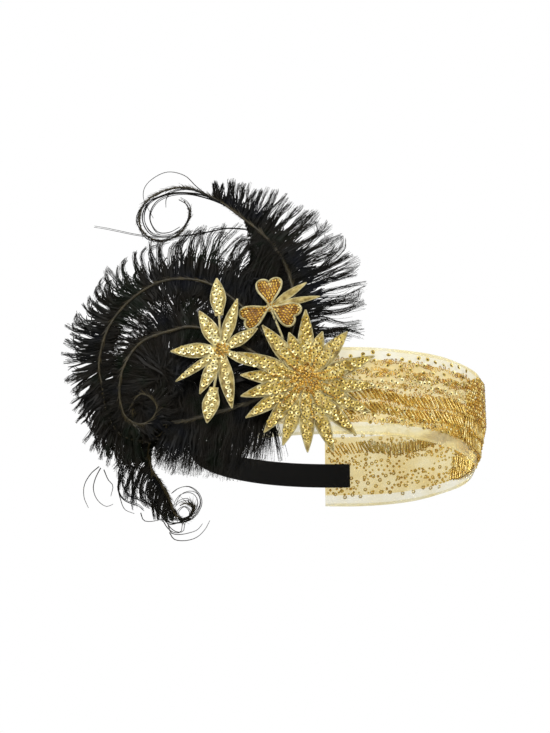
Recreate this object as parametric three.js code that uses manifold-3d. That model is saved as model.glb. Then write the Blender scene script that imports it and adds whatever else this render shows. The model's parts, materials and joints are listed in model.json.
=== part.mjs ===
// A 1920s style feather headband, in the shape it has when worn: a beaded net band round the front of the
// head, closed by an elastic at the back, with a spray of curled plumes and three sequinned flowers on one
// side. Millimetres, +Z up, +X towards the front of the head, -Y towards the side that carries the spray.
// The origin is the centre of the head opening, at half the height of the net band.
import * as THREE from "three";
import { mergeVertices } from "three/addons/utils/BufferGeometryUtils.js";
import Module from "manifold-3d";

const wasm = await Module();
wasm.setup();

// The loop round the head, measured at the middle of the net's wall.
const LOOP_LENGTH = 190;
const LOOP_WIDTH = 140;
const LOOP_SQUARENESS = 2.2; // 2 is an ellipse, more is boxier
const LOOP_STEP = THREE.MathUtils.degToRad(6);

// The beaded net band, its ends, and the elastic and felt sewn to it.
const NET_HEIGHT = 58;
const NET_WALL = 1;
const NET_FAR_END = -5.5; // where the net stops on the far side, along X
const NET_NEAR_END = -50; // where it stops under the spray, along X
const NET_FOOT_DRAW = 6; // how far its lower edge is drawn in at the front of the head
const NET_FOOT_START = 30; // where that begins, along X
const ELASTIC_WIDTH = 17;
const ELASTIC_WALL = 1.2;
const ELASTIC_DROP = 7.5; // from the band's mid height down to the elastic's
const SEAM_OVERLAP = 17; // elastic inside the net at either end
const FELT_WALL = 1.5;
const FELT_HEIGHT = 44;
const FELT_LENGTH = 46; // along X
const GAP = 0.3; // between pieces that touch

// The spray: quills meet at the bundle, and each plume keeps to its own layer outside the felt.
const BUNDLE_X = -36;
const BUNDLE_Z = 8;
const QUILL_DIAMETER = 2.6;
const QUILL_TIP_SHARE = 0.3; // of the quill's diameter, left at a plume's tip
const QUILL_SIDES = 5;
const QUILL_RUN = 16; // most between the rings of a quill
const QUILL_SAG = 0.3; // most that its curve stands off a straight line between two rings
const LOCK_PITCH = 10.4; // between locks of barbs, along a quill
const LOCK_THICKNESS = 1;
const FAN_START = 20; // from the bundle, where plumes begin to leave their layer
const FAN_START_FRONT = 45;

const CREST_SIZE = 130;
const ARC_SIZE = 120;
const CURL_SIZE = 100;
const DROOP_SIZE = 100;
const DOWN_SIZE = 60;

// The three flowers.
const STAR_X = -20.6;
const STAR_Z = 2.6;
const STAR_RADIUS = 44;
const STAR_BOSS_RADIUS = 10;
const STAR_SEAT_GAP = 0.4; // over the net, which bends away under the flat petals
const DAISY_X = -73;
const DAISY_Z = 26;
const DAISY_RADIUS = 32;
const DAISY_BOSS_RADIUS = 5;
const CLOVER_X = -42.7;
const CLOVER_Z = 54.5;
const CLOVER_RADIUS = 19;
const PETAL_HALF_WIDTH = 5.2;
const PETAL_RIDGE = 1.7;
const PETAL_EDGE = 0.8;
const PETAL_LIFT = 0.25; // every other petal lies this much higher
const INNER_PETAL_LIFT = 0.9; // of the star's inner petals over its outer ones
const BOSS_RISE = 1; // of a flower's boss over its petals
const STEM_HALF_WIDTH = 1;
const HEART_THICKNESS = 1.6;

// Depth of a layer's middle, measured outwards from the net's outer face.
const FELT_TOP = GAP + FELT_WALL;
const LAYER_PITCH = QUILL_DIAMETER + GAP;
const layerDepth = (layer) => FELT_TOP + GAP + QUILL_DIAMETER / 2 + (layer - 1) * LAYER_PITCH;
const BACK_LAYER = 1;
const MIDDLE_LAYER = 2;
const FRONT_LAYER = 3;
const STACK_TOP = layerDepth(FRONT_LAYER) + QUILL_DIAMETER / 2 + GAP;

// A point on the loop, grown outwards by offset. The angle is 0 at the front of the head, 90 degrees on the
// far side and -90 degrees on the side of the spray.
function loopPoint(angle, offset) {
  const power = 2 / LOOP_SQUARENESS;
  const c = Math.cos(angle);
  const s = Math.sin(angle);
  return new THREE.Vector2(
    (LOOP_LENGTH / 2 + offset) * Math.sign(c) * Math.abs(c) ** power,
    (LOOP_WIDTH / 2 + offset) * Math.sign(s) * Math.abs(s) ** power,
  );
}

// The loop's angle at x, on the far side (side 1) or the side of the spray (side -1).
function loopAngle(x, side) {
  const share = x / (LOOP_LENGTH / 2);
  return side * Math.acos(Math.sign(share) * Math.abs(share) ** (LOOP_SQUARENESS / 2));
}

// An upright wall along the loop between two angles.
function loopWall({ from, to, inner, outer, middle, height }) {
  const steps = Math.max(2, Math.ceil(Math.abs(to - from) / LOOP_STEP));
  const angles = Array.from({ length: steps + 1 }, (_, i) => from + ((to - from) * i) / steps);
  const outline = [
    ...angles.map((a) => loopPoint(a, outer)),
    ...angles.toReversed().map((a) => loopPoint(a, inner)),
  ];
  const wall = new THREE.ExtrudeGeometry(new THREE.Shape(outline), { depth: height, bevelEnabled: false });
  return wall.translate(0, 0, middle - height / 2);
}

// The spray's own surface, as Y at x: the net's outer face as far as the bundle, then flat on, at a tangent.
function sprayY(x) {
  const tangentX = BUNDLE_X + QUILL_DIAMETER / 2;
  const faceY = (at) => {
    const share = Math.min(1, Math.abs(at / (LOOP_LENGTH / 2 + NET_WALL / 2)));
    return -(LOOP_WIDTH / 2 + NET_WALL / 2) * (1 - share ** LOOP_SQUARENESS) ** (1 / LOOP_SQUARENESS);
  };
  if (x >= tangentX) return faceY(x);
  const reach = 0.01;
  const slope = (faceY(tangentX + reach) - faceY(tangentX - reach)) / (2 * reach);
  return faceY(tangentX) + slope * (x - tangentX);
}

// Spray coordinates are x, z and the depth outwards from the spray's surface. This places a geometry made in
// them on the headband, bent to its curve.
function onSpray(geometry) {
  const place = geometry.getAttribute("position");
  for (let i = 0; i < place.count; i++) {
    const x = place.getX(i);
    place.setXYZ(i, x, sprayY(x) - place.getZ(i), place.getY(i));
  }
  return geometry;
}

// Joins rings of as many points each, which run counter-clockwise about the way they follow, to a closed
// body.
function loft(rings) {
  const sides = rings[0].length;
  const index = [];
  for (let r = 0; r + 1 < rings.length; r++) {
    for (let i = 0; i < sides; i++) {
      const a = r * sides + i;
      const b = r * sides + ((i + 1) % sides);
      index.push(a, b, b + sides, a, b + sides, a + sides);
    }
  }
  const last = (rings.length - 1) * sides;
  for (let i = 1; i + 1 < sides; i++) {
    index.push(0, i + 1, i);
    index.push(last, last + i, last + i + 1);
  }
  const geometry = new THREE.BufferGeometry().setFromPoints(rings.flat());
  return geometry.setIndex(index);
}

// A ring across a way that runs in the spray's surface. Its points are pairs of an offset to the left of the
// way and a height off the surface.
function ringAcross(centre, heading, section) {
  const left = new THREE.Vector2(-heading.y, heading.x);
  return section.map(
    ([side, height]) =>
      new THREE.Vector3(centre.x + left.x * side, centre.y + left.y * side, centre.z + height),
  );
}

function roundSection(radius) {
  return Array.from({ length: QUILL_SIDES }, (_, i) => {
    const turn = (2 * Math.PI * i) / QUILL_SIDES;
    return [radius * Math.cos(turn), radius * Math.sin(turn)];
  });
}

const flatSection = (half, thickness) => [
  [-half, -thickness / 2],
  [half, -thickness / 2],
  [half, thickness / 2],
  [-half, thickness / 2],
];

const ridgedSection = (half, thickness) => [
  [-half, -thickness / 2],
  [half, -thickness / 2],
  [0, thickness / 2],
];

// Fuses closed geometries in spray coordinates, which overlap, into one closed geometry on the headband.
function fuseOnSpray(geometries) {
  const solids = geometries.map((geometry) => {
    const bare = onSpray(geometry.clone());
    bare.deleteAttribute("normal");
    bare.deleteAttribute("uv");
    const merged = mergeVertices(bare, 1e-4);
    return new wasm.Manifold(
      new wasm.Mesh({
        numProp: 3,
        vertProperties: new Float32Array(merged.getAttribute("position").array),
        triVerts: new Uint32Array(merged.index.array),
      }),
    );
  });
  const mesh = solids.reduce((whole, next) => whole.add(next)).getMesh();
  const points = [];
  for (let i = 0; i < mesh.numVert; i++) {
    points.push(...mesh.vertProperties.subarray(i * mesh.numProp, i * mesh.numProp + 3));
  }
  const fused = new THREE.BufferGeometry()
    .setAttribute("position", new THREE.Float32BufferAttribute(points, 3))
    .setIndex([...mesh.triVerts]);
  fused.computeVertexNormals();
  return fused;
}

// The row of a table at a share, between the rows on either side of it.
function rowAt(table, at) {
  const next = table.find((row) => row.at >= at) ?? table.at(-1);
  const before = table.findLast((row) => row.at <= at) ?? table[0];
  const share = next.at > before.at ? (at - before.at) / (next.at - before.at) : 0;
  return Object.fromEntries(
    Object.keys(next).map((key) => [key, THREE.MathUtils.lerp(before[key], next[key], share)]),
  );
}

// The shares of a way's length at which its quill gets a ring, closer together where the way bends.
function ringShares(curve, length) {
  const STEP = 1.5;
  const steps = Math.ceil(length / STEP);
  const shares = [0];
  for (let i = 1; i < steps; i++) {
    const at = i / steps;
    const before = shares.at(-1);
    const turned = curve.getTangentAt(at).angleTo(curve.getTangentAt(before));
    const run = (at - before) * length;
    if (run > QUILL_RUN || (run * turned) / 8 > QUILL_SAG) shares.push(at);
  }
  return [...shares, 1];
}

// A plume: a quill along its way, with locks of barbs on both sides, fused to it. The way holds points to
// the right of and above the bundle. Each row of barbs gives, at a share of the quill's length, how long the
// locks on the outer (right hand) and inner side are, how many degrees they stand off the way ahead, and how
// many they curl towards the plume's tip. Lengths are shares of the plume's size. The fan is how far a plume
// leaves its layer for each millimetre along it.
function plume({ size, way, layer, fan, fanStart, barbs }) {
  const depthAt = (x, z) => {
    const reach = Math.hypot(x - BUNDLE_X, z - BUNDLE_Z);
    return layerDepth(layer) + fan * Math.max(0, reach - fanStart);
  };
  const lay = (x, z) => new THREE.Vector3(x, z, depthAt(x, z));
  const curve = new THREE.CatmullRomCurve3(
    way.map(({ right, up }) => new THREE.Vector3(BUNDLE_X + right * size, BUNDLE_Z + up * size, 0)),
    false,
    "centripetal",
  );
  const length = curve.getLength();
  const radiusAt = (at) => (QUILL_DIAMETER / 2) * THREE.MathUtils.lerp(1, QUILL_TIP_SHARE, at);

  const quill = ringShares(curve, length).map((at) => {
    const point = curve.getPointAt(at);
    return ringAcross(lay(point.x, point.y), curve.getTangentAt(at), roundSection(radiusAt(at)));
  });

  const locks = [];
  const lockCount = Math.floor(length / LOCK_PITCH);
  for (let i = 0; i < lockCount; i++) {
    const at = (i + 0.5) / lockCount;
    if (at < barbs[0].at || at > barbs.at(-1).at) continue;
    const row = rowAt(barbs, at);
    const place = { root: curve.getPointAt(at), ahead: curve.getTangentAt(at), lay };
    const outer = { side: -1, long: row.outer * size, lean: row.outerLean, curl: row.outerCurl };
    const inner = { side: 1, long: row.inner * size, lean: row.innerLean, curl: row.innerCurl };
    locks.push(...lockOfBarbs({ ...place, ...outer }), ...lockOfBarbs({ ...place, ...inner }));
  }
  return fuseOnSpray([loft(quill), ...locks]);
}

// One lock of barbs on the left (side 1) or right (side -1) of the way, from inside the quill to a thin tip.
// A lock too short to stand clear of the quill is left out.
function lockOfBarbs({ root, ahead, lay, side, long, lean, curl }) {
  const SHORTEST = 5;
  if (long < SHORTEST) return [];
  const stations = [
    { along: 0, width: 0.86, thick: 1 },
    { along: 0.55, width: 0.84, thick: 0.9 },
    { along: 1, width: 0.12, thick: 0.5 },
  ];
  const start = Math.atan2(ahead.y, ahead.x);
  const rings = [];
  const place = new THREE.Vector2(root.x, root.y);
  let before = 0;
  for (const { along, width, thick } of stations) {
    const turn = start + side * THREE.MathUtils.degToRad(lean - curl * along);
    const heading = new THREE.Vector2(Math.cos(turn), Math.sin(turn));
    place.addScaledVector(heading, (along - before) * long);
    before = along;
    const section = ridgedSection((width * LOCK_PITCH) / 2, thick * LOCK_THICKNESS);
    rings.push(ringAcross(lay(place.x, place.y), heading, section));
  }
  return [loft(rings)];
}

// A pointed petal or leaf with a raised midrib. It starts and ends at distances from the flower's centre, and
// its flat back lies on the depth that seat gives. The lift thickens it.
function petal({ x, z, angle, start, end, halfWidth, seat, lift = 0 }) {
  const stations = [
    { along: 0, width: 0.5 },
    { along: 0.45, width: 1 },
    { along: 0.75, width: 0.75 },
    { along: 1, width: 0.06 },
  ];
  const turn = THREE.MathUtils.degToRad(angle);
  const heading = new THREE.Vector2(Math.cos(turn), Math.sin(turn));
  const rings = stations.map(({ along, width }) => {
    const away = start + (end - start) * along;
    const px = x + heading.x * away;
    const pz = z + heading.y * away;
    const half = halfWidth * width;
    const ridge = THREE.MathUtils.lerp(PETAL_EDGE, PETAL_RIDGE, width);
    const section = [
      [-half, 0],
      [half, 0],
      [half, lift + PETAL_EDGE],
      [0, lift + ridge],
      [-half, lift + PETAL_EDGE],
    ];
    return ringAcross(new THREE.Vector3(px, pz, seat(px, pz)), heading, section);
  });
  return loft(rings);
}

// A low round boss, domed in front, from the depth of back to the height over the seat.
function boss({ x, z, radius, back, seat, height }) {
  const SIDES = 12;
  const rows = [
    { out: 1, up: 0 },
    { out: 0.8, up: 0.6 },
    { out: 0.4, up: 0.95 },
  ];
  const ring = (out, depth) =>
    Array.from({ length: SIDES }, (_, i) => {
      const turn = (2 * Math.PI * i) / SIDES;
      const px = x + radius * out * Math.cos(turn);
      const pz = z + radius * out * Math.sin(turn);
      return new THREE.Vector3(px, pz, depth(px, pz));
    });
  const front = rows.map(({ out, up }) => ring(out, (px, pz) => seat(px, pz) + height * up));
  return loft([ring(1, back), ...front]);
}

// A thin stem between two distances from a flower's centre.
function stem({ x, z, angle, start, end, seat }) {
  const turn = THREE.MathUtils.degToRad(angle);
  const heading = new THREE.Vector2(Math.cos(turn), Math.sin(turn));
  const rings = [start, end].map((away) => {
    const px = x + heading.x * away;
    const pz = z + heading.y * away;
    const centre = new THREE.Vector3(px, pz, seat(px, pz) + PETAL_EDGE / 2);
    return ringAcross(centre, heading, flatSection(STEM_HALF_WIDTH, PETAL_EDGE));
  });
  return loft(rings);
}

// The star flower lies on the net to its right and climbs over the quills to its left.
function starSeat(x, z) {
  const CLIMB_FROM = -0.55 * STAR_RADIUS;
  const CLIMB_TO = 0.15 * STAR_RADIUS;
  const TURN = THREE.MathUtils.degToRad(20);
  const across = -(x - STAR_X) * Math.cos(TURN) + (z - STAR_Z) * Math.sin(TURN);
  const climb = THREE.MathUtils.smoothstep(across, CLIMB_FROM, CLIMB_TO);
  return THREE.MathUtils.lerp(STAR_SEAT_GAP, STACK_TOP, climb);
}

function starFlower() {
  const outerPetals = [
    { angle: 0, reach: 0.98 },
    { angle: 25, reach: 1.07 },
    { angle: 53, reach: 0.98 },
    { angle: 72, reach: 0.76 },
    { angle: 90, reach: 1.06 },
    { angle: 108, reach: 0.76 },
    { angle: 125, reach: 1.07 },
    { angle: 153, reach: 1.08 },
    { angle: 171, reach: 0.93 },
    { angle: 191, reach: 0.93 },
    { angle: 211, reach: 0.98 },
    { angle: 232, reach: 0.95 },
    { angle: 251, reach: 1 },
    { angle: 271, reach: 1.01 },
    { angle: 291, reach: 1.06 },
    { angle: 313, reach: 1.02 },
    { angle: 336, reach: 0.97 },
  ];
  const INNER_COUNT = 10;
  const INNER_REACH = 0.62;
  const centre = { x: STAR_X, z: STAR_Z, seat: starSeat };
  const start = STAR_BOSS_RADIUS / 2;
  const outer = outerPetals.map(({ angle, reach }, i) =>
    petal({
      ...centre,
      angle,
      start,
      end: reach * STAR_RADIUS,
      halfWidth: PETAL_HALF_WIDTH,
      lift: PETAL_LIFT * (i % 2),
    }),
  );
  const inner = Array.from({ length: INNER_COUNT }, (_, i) =>
    petal({
      ...centre,
      angle: (360 * (i + 0.5)) / INNER_COUNT,
      start,
      end: INNER_REACH * STAR_RADIUS,
      halfWidth: PETAL_HALF_WIDTH * 0.8,
      lift: INNER_PETAL_LIFT + PETAL_LIFT * (i % 2),
    }),
  );
  const middle = boss({
    ...centre,
    radius: STAR_BOSS_RADIUS,
    back: starSeat,
    height: INNER_PETAL_LIFT + PETAL_RIDGE + BOSS_RISE,
  });
  return fuseOnSpray([middle, ...outer, ...inner]);
}

// The daisy lies over the star's left petals, and its boss reaches back to the locks of the front plume.
function daisyFlower() {
  const STAR_THICKNESS = PETAL_RIDGE + 2 * GAP;
  const LOCK_TOP = layerDepth(FRONT_LAYER) + LOCK_THICKNESS / 2;
  const petals = [
    { angle: 29, reach: 0.8, width: 0.75 },
    { angle: 74, reach: 1.1, width: 0.8 },
    { angle: 117, reach: 0.98, width: 0.9 },
    { angle: 176, reach: 1, width: 0.9 },
    { angle: 213, reach: 1.06, width: 0.55 },
    { angle: 245, reach: 0.97, width: 0.8 },
    { angle: 280, reach: 1.25, width: 0.85 },
    { angle: 330, reach: 0.88, width: 0.55 },
  ];
  const stemmedLeaves = [
    { angle: 94, start: 0.74, reach: 1.55, width: 0.9 },
    { angle: 260, start: 0.78, reach: 1.51, width: 0.95 },
  ];
  const seat = () => STACK_TOP + STAR_THICKNESS;
  const centre = { x: DAISY_X, z: DAISY_Z, seat };
  const blades = petals.map(({ angle, reach, width }, i) =>
    petal({
      ...centre,
      angle,
      start: DAISY_BOSS_RADIUS / 3,
      end: reach * DAISY_RADIUS,
      halfWidth: width * PETAL_HALF_WIDTH,
      lift: PETAL_LIFT * (i % 2),
    }),
  );
  const leaves = stemmedLeaves.flatMap(({ angle, start, reach, width }) => [
    petal({
      ...centre,
      angle,
      start: start * DAISY_RADIUS,
      end: reach * DAISY_RADIUS,
      halfWidth: width * PETAL_HALF_WIDTH,
    }),
    stem({ ...centre, angle, start: 0, end: (start + 0.1) * DAISY_RADIUS }),
  ]);
  const middle = boss({
    ...centre,
    radius: DAISY_BOSS_RADIUS,
    back: () => LOCK_TOP + 2 * GAP,
    height: PETAL_RIDGE + BOSS_RISE,
  });
  return fuseOnSpray([middle, ...blades, ...leaves]);
}

// One heart-shaped leaf of the clover, its point at the middle.
function heart({ x, z, angle, reach, depth }) {
  const shape = new THREE.Shape();
  const wide = 0.46 * reach;
  shape.moveTo(0, 0);
  shape.bezierCurveTo(0.3 * reach, -0.1 * reach, 0.55 * reach, -wide, 0.86 * reach, -0.9 * wide);
  shape.bezierCurveTo(1.05 * reach, -0.8 * wide, 1.05 * reach, -0.2 * wide, 0.88 * reach, 0);
  shape.bezierCurveTo(1.05 * reach, 0.2 * wide, 1.05 * reach, 0.8 * wide, 0.86 * reach, 0.9 * wide);
  shape.bezierCurveTo(0.55 * reach, wide, 0.3 * reach, 0.1 * reach, 0, 0);
  const leaf = new THREE.ExtrudeGeometry(shape, {
    depth: HEART_THICKNESS,
    bevelEnabled: false,
    curveSegments: 6,
  });
  return leaf.rotateZ(THREE.MathUtils.degToRad(angle)).translate(x, z, depth);
}

// The clover lies in the front layer, over the quill of the arched plume, and its stem runs under the star.
function cloverFlower() {
  const BACK = layerDepth(MIDDLE_LAYER) + QUILL_DIAMETER / 2 + GAP;
  const hearts = [93, 206, 332];
  const blades = [
    { angle: 33, reach: 1.43, width: 0.45 },
    { angle: 9, reach: 1.66, width: 0.4 },
  ];
  const STEM = { angle: 290, reach: 1.26 };
  const HUB_RADIUS = 0.16;
  const seat = () => BACK;
  const centre = { x: CLOVER_X, z: CLOVER_Z, seat };
  return fuseOnSpray([
    boss({
      ...centre,
      radius: HUB_RADIUS * CLOVER_RADIUS,
      back: seat,
      height: HEART_THICKNESS + BOSS_RISE / 2,
    }),
    ...hearts.map((angle) =>
      heart({ x: CLOVER_X, z: CLOVER_Z, angle, reach: CLOVER_RADIUS, depth: BACK }),
    ),
    ...blades.map(({ angle, reach, width }) =>
      petal({
        ...centre,
        angle,
        start: 0,
        end: reach * CLOVER_RADIUS,
        halfWidth: width * PETAL_HALF_WIDTH,
      }),
    ),
    stem({ ...centre, angle: STEM.angle, start: 0, end: STEM.reach * CLOVER_RADIUS }),
  ]);
}

// The tall plume at the top, which ends in a wide bare curl.
const crestPlume = {
  size: CREST_SIZE,
  layer: BACK_LAYER,
  fan: -0.12,
  fanStart: FAN_START,
  way: [
    { right: 0, up: 0.03 },
    { right: 0.04, up: 0.18 },
    { right: 0.07, up: 0.35 },
    { right: 0.05, up: 0.52 },
    { right: 0, up: 0.67 },
    { right: -0.08, up: 0.8 },
    { right: -0.18, up: 0.91 },
    { right: -0.29, up: 1.02 },
    { right: -0.41, up: 1.11 },
    { right: -0.5, up: 1.15 },
    { right: -0.61, up: 1.14 },
    { right: -0.69, up: 1.09 },
    { right: -0.72, up: 1 },
    { right: -0.7, up: 0.92 },
    { right: -0.64, up: 0.86 },
    { right: -0.56, up: 0.85 },
    { right: -0.49, up: 0.9 },
    { right: -0.46, up: 0.99 },
    { right: -0.49, up: 1.07 },
  ],
  barbs: [
    { at: 0.06, outer: 0.2, outerLean: 85, outerCurl: 4, inner: 0.24, innerLean: 60, innerCurl: 10 },
    { at: 0.11, outer: 0.33, outerLean: 92, outerCurl: 4, inner: 0.3, innerLean: 70, innerCurl: 10 },
    { at: 0.22, outer: 0.34, outerLean: 86, outerCurl: 4, inner: 0.32, innerLean: 90, innerCurl: 10 },
    { at: 0.3, outer: 0.28, outerLean: 82, outerCurl: 0, inner: 0.25, innerLean: 105, innerCurl: 10 },
    { at: 0.36, outer: 0.25, outerLean: 77, outerCurl: 0, inner: 0.16, innerLean: 112, innerCurl: 10 },
    { at: 0.4, outer: 0.23, outerLean: 70, outerCurl: 0, inner: 0.06, innerLean: 112, innerCurl: 10 },
    { at: 0.44, outer: 0.2, outerLean: 62, outerCurl: 0, inner: 0, innerLean: 110, innerCurl: 0 },
    { at: 0.51, outer: 0.16, outerLean: 50, outerCurl: 0, inner: 0, innerLean: 90, innerCurl: 0 },
    { at: 0.55, outer: 0.1, outerLean: 46, outerCurl: 0, inner: 0, innerLean: 90, innerCurl: 0 },
  ],
};

// The long plume that arches over the others and ends in a spiral.
const arcPlume = {
  size: ARC_SIZE,
  layer: MIDDLE_LAYER,
  fan: 0,
  fanStart: FAN_START,
  way: [
    { right: 0, up: 0.03 },
    { right: -0.12, up: 0.3 },
    { right: -0.24, up: 0.45 },
    { right: -0.41, up: 0.58 },
    { right: -0.61, up: 0.61 },
    { right: -0.77, up: 0.54 },
    { right: -0.91, up: 0.38 },
    { right: -0.96, up: 0.16 },
    { right: -0.94, up: 0.04 },
    { right: -0.91, up: -0.11 },
    { right: -0.84, up: -0.24 },
    { right: -0.73, up: -0.29 },
    { right: -0.63, up: -0.27 },
    { right: -0.59, up: -0.21 },
    { right: -0.61, up: -0.14 },
  ],
  barbs: [
    { at: 0.11, outer: 0.4, outerLean: 34, outerCurl: 0, inner: 0.05, innerLean: 80, innerCurl: 0 },
    { at: 0.2, outer: 0.44, outerLean: 54, outerCurl: -40, inner: 0.2, innerLean: 75, innerCurl: 15 },
    { at: 0.29, outer: 0.38, outerLean: 64, outerCurl: -25, inner: 0.22, innerLean: 85, innerCurl: 15 },
    { at: 0.34, outer: 0.33, outerLean: 74, outerCurl: -20, inner: 0.26, innerLean: 95, innerCurl: 5 },
    { at: 0.38, outer: 0.26, outerLean: 84, outerCurl: -25, inner: 0.26, innerLean: 98, innerCurl: 0 },
    { at: 0.45, outer: 0.26, outerLean: 66, outerCurl: -60, inner: 0.25, innerLean: 98, innerCurl: 0 },
    { at: 0.54, outer: 0.24, outerLean: 72, outerCurl: -50, inner: 0.18, innerLean: 98, innerCurl: 0 },
    { at: 0.62, outer: 0.21, outerLean: 76, outerCurl: -35, inner: 0.13, innerLean: 95, innerCurl: 10 },
    { at: 0.68, outer: 0.2, outerLean: 64, outerCurl: 0, inner: 0.11, innerLean: 95, innerCurl: 10 },
    { at: 0.75, outer: 0.19, outerLean: 52, outerCurl: 10, inner: 0.09, innerLean: 90, innerCurl: 10 },
    { at: 0.81, outer: 0.19, outerLean: 52, outerCurl: 15, inner: 0.06, innerLean: 80, innerCurl: 10 },
    { at: 0.86, outer: 0.2, outerLean: 66, outerCurl: 20, inner: 0.03, innerLean: 80, innerCurl: 10 },
    { at: 0.89, outer: 0.15, outerLean: 80, outerCurl: 20, inner: 0, innerLean: 80, innerCurl: 10 },
  ],
};

// The shorter plume inside the arch, which winds up to a tight curl.
const curlPlume = {
  size: CURL_SIZE,
  layer: FRONT_LAYER,
  fan: 0.06,
  fanStart: FAN_START_FRONT,
  way: [
    { right: 0, up: 0.04 },
    { right: -0.3, up: 0.25 },
    { right: -0.55, up: 0.37 },
    { right: -0.67, up: 0.36 },
    { right: -0.88, up: 0.29 },
    { right: -0.98, up: 0.15 },
    { right: -1.01, up: 0.01 },
    { right: -1, up: -0.11 },
    { right: -0.96, up: -0.21 },
    { right: -0.88, up: -0.26 },
    { right: -0.81, up: -0.24 },
    { right: -0.77, up: -0.16 },
    { right: -0.81, up: -0.09 },
    { right: -0.87, up: -0.06 },
    { right: -0.92, up: -0.11 },
    { right: -0.91, up: -0.17 },
    { right: -0.87, up: -0.19 },
  ],
  barbs: [
    { at: 0.13, outer: 0, outerLean: 75, outerCurl: 10, inner: 0.36, innerLean: 60, innerCurl: 10 },
    { at: 0.3, outer: 0.12, outerLean: 75, outerCurl: 10, inner: 0.38, innerLean: 76, innerCurl: 10 },
    { at: 0.38, outer: 0.16, outerLean: 75, outerCurl: 10, inner: 0.38, innerLean: 80, innerCurl: 5 },
    { at: 0.45, outer: 0.1, outerLean: 75, outerCurl: 10, inner: 0.42, innerLean: 84, innerCurl: 0 },
    { at: 0.56, outer: 0.12, outerLean: 75, outerCurl: 10, inner: 0.4, innerLean: 92, innerCurl: 0 },
    { at: 0.62, outer: 0.13, outerLean: 75, outerCurl: 10, inner: 0.28, innerLean: 100, innerCurl: 0 },
    { at: 0.68, outer: 0.13, outerLean: 75, outerCurl: 15, inner: 0.04, innerLean: 100, innerCurl: 0 },
    { at: 0.78, outer: 0.14, outerLean: 80, outerCurl: 20, inner: 0.03, innerLean: 100, innerCurl: 20 },
    { at: 0.84, outer: 0.16, outerLean: 85, outerCurl: 20, inner: 0.03, innerLean: 100, innerCurl: 20 },
    { at: 0.9, outer: 0.16, outerLean: 85, outerCurl: 20, inner: 0.03, innerLean: 100, innerCurl: 20 },
    { at: 0.97, outer: 0.04, outerLean: 85, outerCurl: 20, inner: 0.03, innerLean: 100, innerCurl: 20 },
  ],
};

// The plume that hangs below the band, bare along its inner side, with a small curl at its end.
const droopPlume = {
  size: DROOP_SIZE,
  layer: BACK_LAYER,
  fan: -0.05,
  fanStart: FAN_START,
  way: [
    { right: 0, up: -0.04 },
    { right: -0.32, up: -0.05 },
    { right: -0.57, up: -0.1 },
    { right: -0.75, up: -0.22 },
    { right: -0.82, up: -0.36 },
    { right: -0.8, up: -0.52 },
    { right: -0.75, up: -0.6 },
    { right: -0.7, up: -0.69 },
    { right: -0.67, up: -0.77 },
    { right: -0.64, up: -0.83 },
    { right: -0.6, up: -0.86 },
    { right: -0.56, up: -0.84 },
    { right: -0.54, up: -0.79 },
    { right: -0.58, up: -0.76 },
    { right: -0.62, up: -0.77 },
  ],
  barbs: [
    { at: 0.12, outer: 0.3, outerLean: 60, outerCurl: 10, inner: 0.2, innerLean: 70, innerCurl: 0 },
    { at: 0.3, outer: 0.34, outerLean: 62, outerCurl: 10, inner: 0.26, innerLean: 75, innerCurl: 0 },
    { at: 0.42, outer: 0.3, outerLean: 54, outerCurl: 15, inner: 0.22, innerLean: 70, innerCurl: 10 },
    { at: 0.5, outer: 0.3, outerLean: 48, outerCurl: 35, inner: 0.1, innerLean: 60, innerCurl: 20 },
    { at: 0.56, outer: 0.34, outerLean: 45, outerCurl: 60, inner: 0.03, innerLean: 60, innerCurl: 0 },
    { at: 0.65, outer: 0.3, outerLean: 45, outerCurl: 80, inner: 0, innerLean: 60, innerCurl: 0 },
    { at: 0.76, outer: 0.16, outerLean: 40, outerCurl: 50, inner: 0, innerLean: 60, innerCurl: 0 },
    { at: 0.85, outer: 0.05, outerLean: 40, outerCurl: 30, inner: 0.02, innerLean: 60, innerCurl: 0 },
  ],
};

// Short down at the foot of the plumes, which hangs over the elastic.
const downTuft = {
  size: DOWN_SIZE,
  layer: MIDDLE_LAYER,
  fan: 0,
  fanStart: FAN_START,
  way: [
    { right: 0, up: -0.07 },
    { right: -0.2, up: -0.22 },
    { right: -0.42, up: -0.29 },
    { right: -0.68, up: -0.35 },
    { right: -0.94, up: -0.4 },
    { right: -1.14, up: -0.42 },
  ],
  barbs: [
    { at: 0.08, outer: 0.2, outerLean: 60, outerCurl: 15, inner: 0.7, innerLean: 52, innerCurl: 0 },
    { at: 0.3, outer: 0.44, outerLean: 80, outerCurl: 15, inner: 0.76, innerLean: 62, innerCurl: 0 },
    { at: 0.6, outer: 0.56, outerLean: 90, outerCurl: 15, inner: 0.62, innerLean: 72, innerCurl: 0 },
    { at: 0.85, outer: 0.5, outerLean: 100, outerCurl: 10, inner: 0.52, innerLean: 72, innerCurl: 0 },
    { at: 1, outer: 0.4, outerLean: 105, outerCurl: 10, inner: 0.4, innerLean: 68, innerCurl: 0 },
  ],
};

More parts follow.
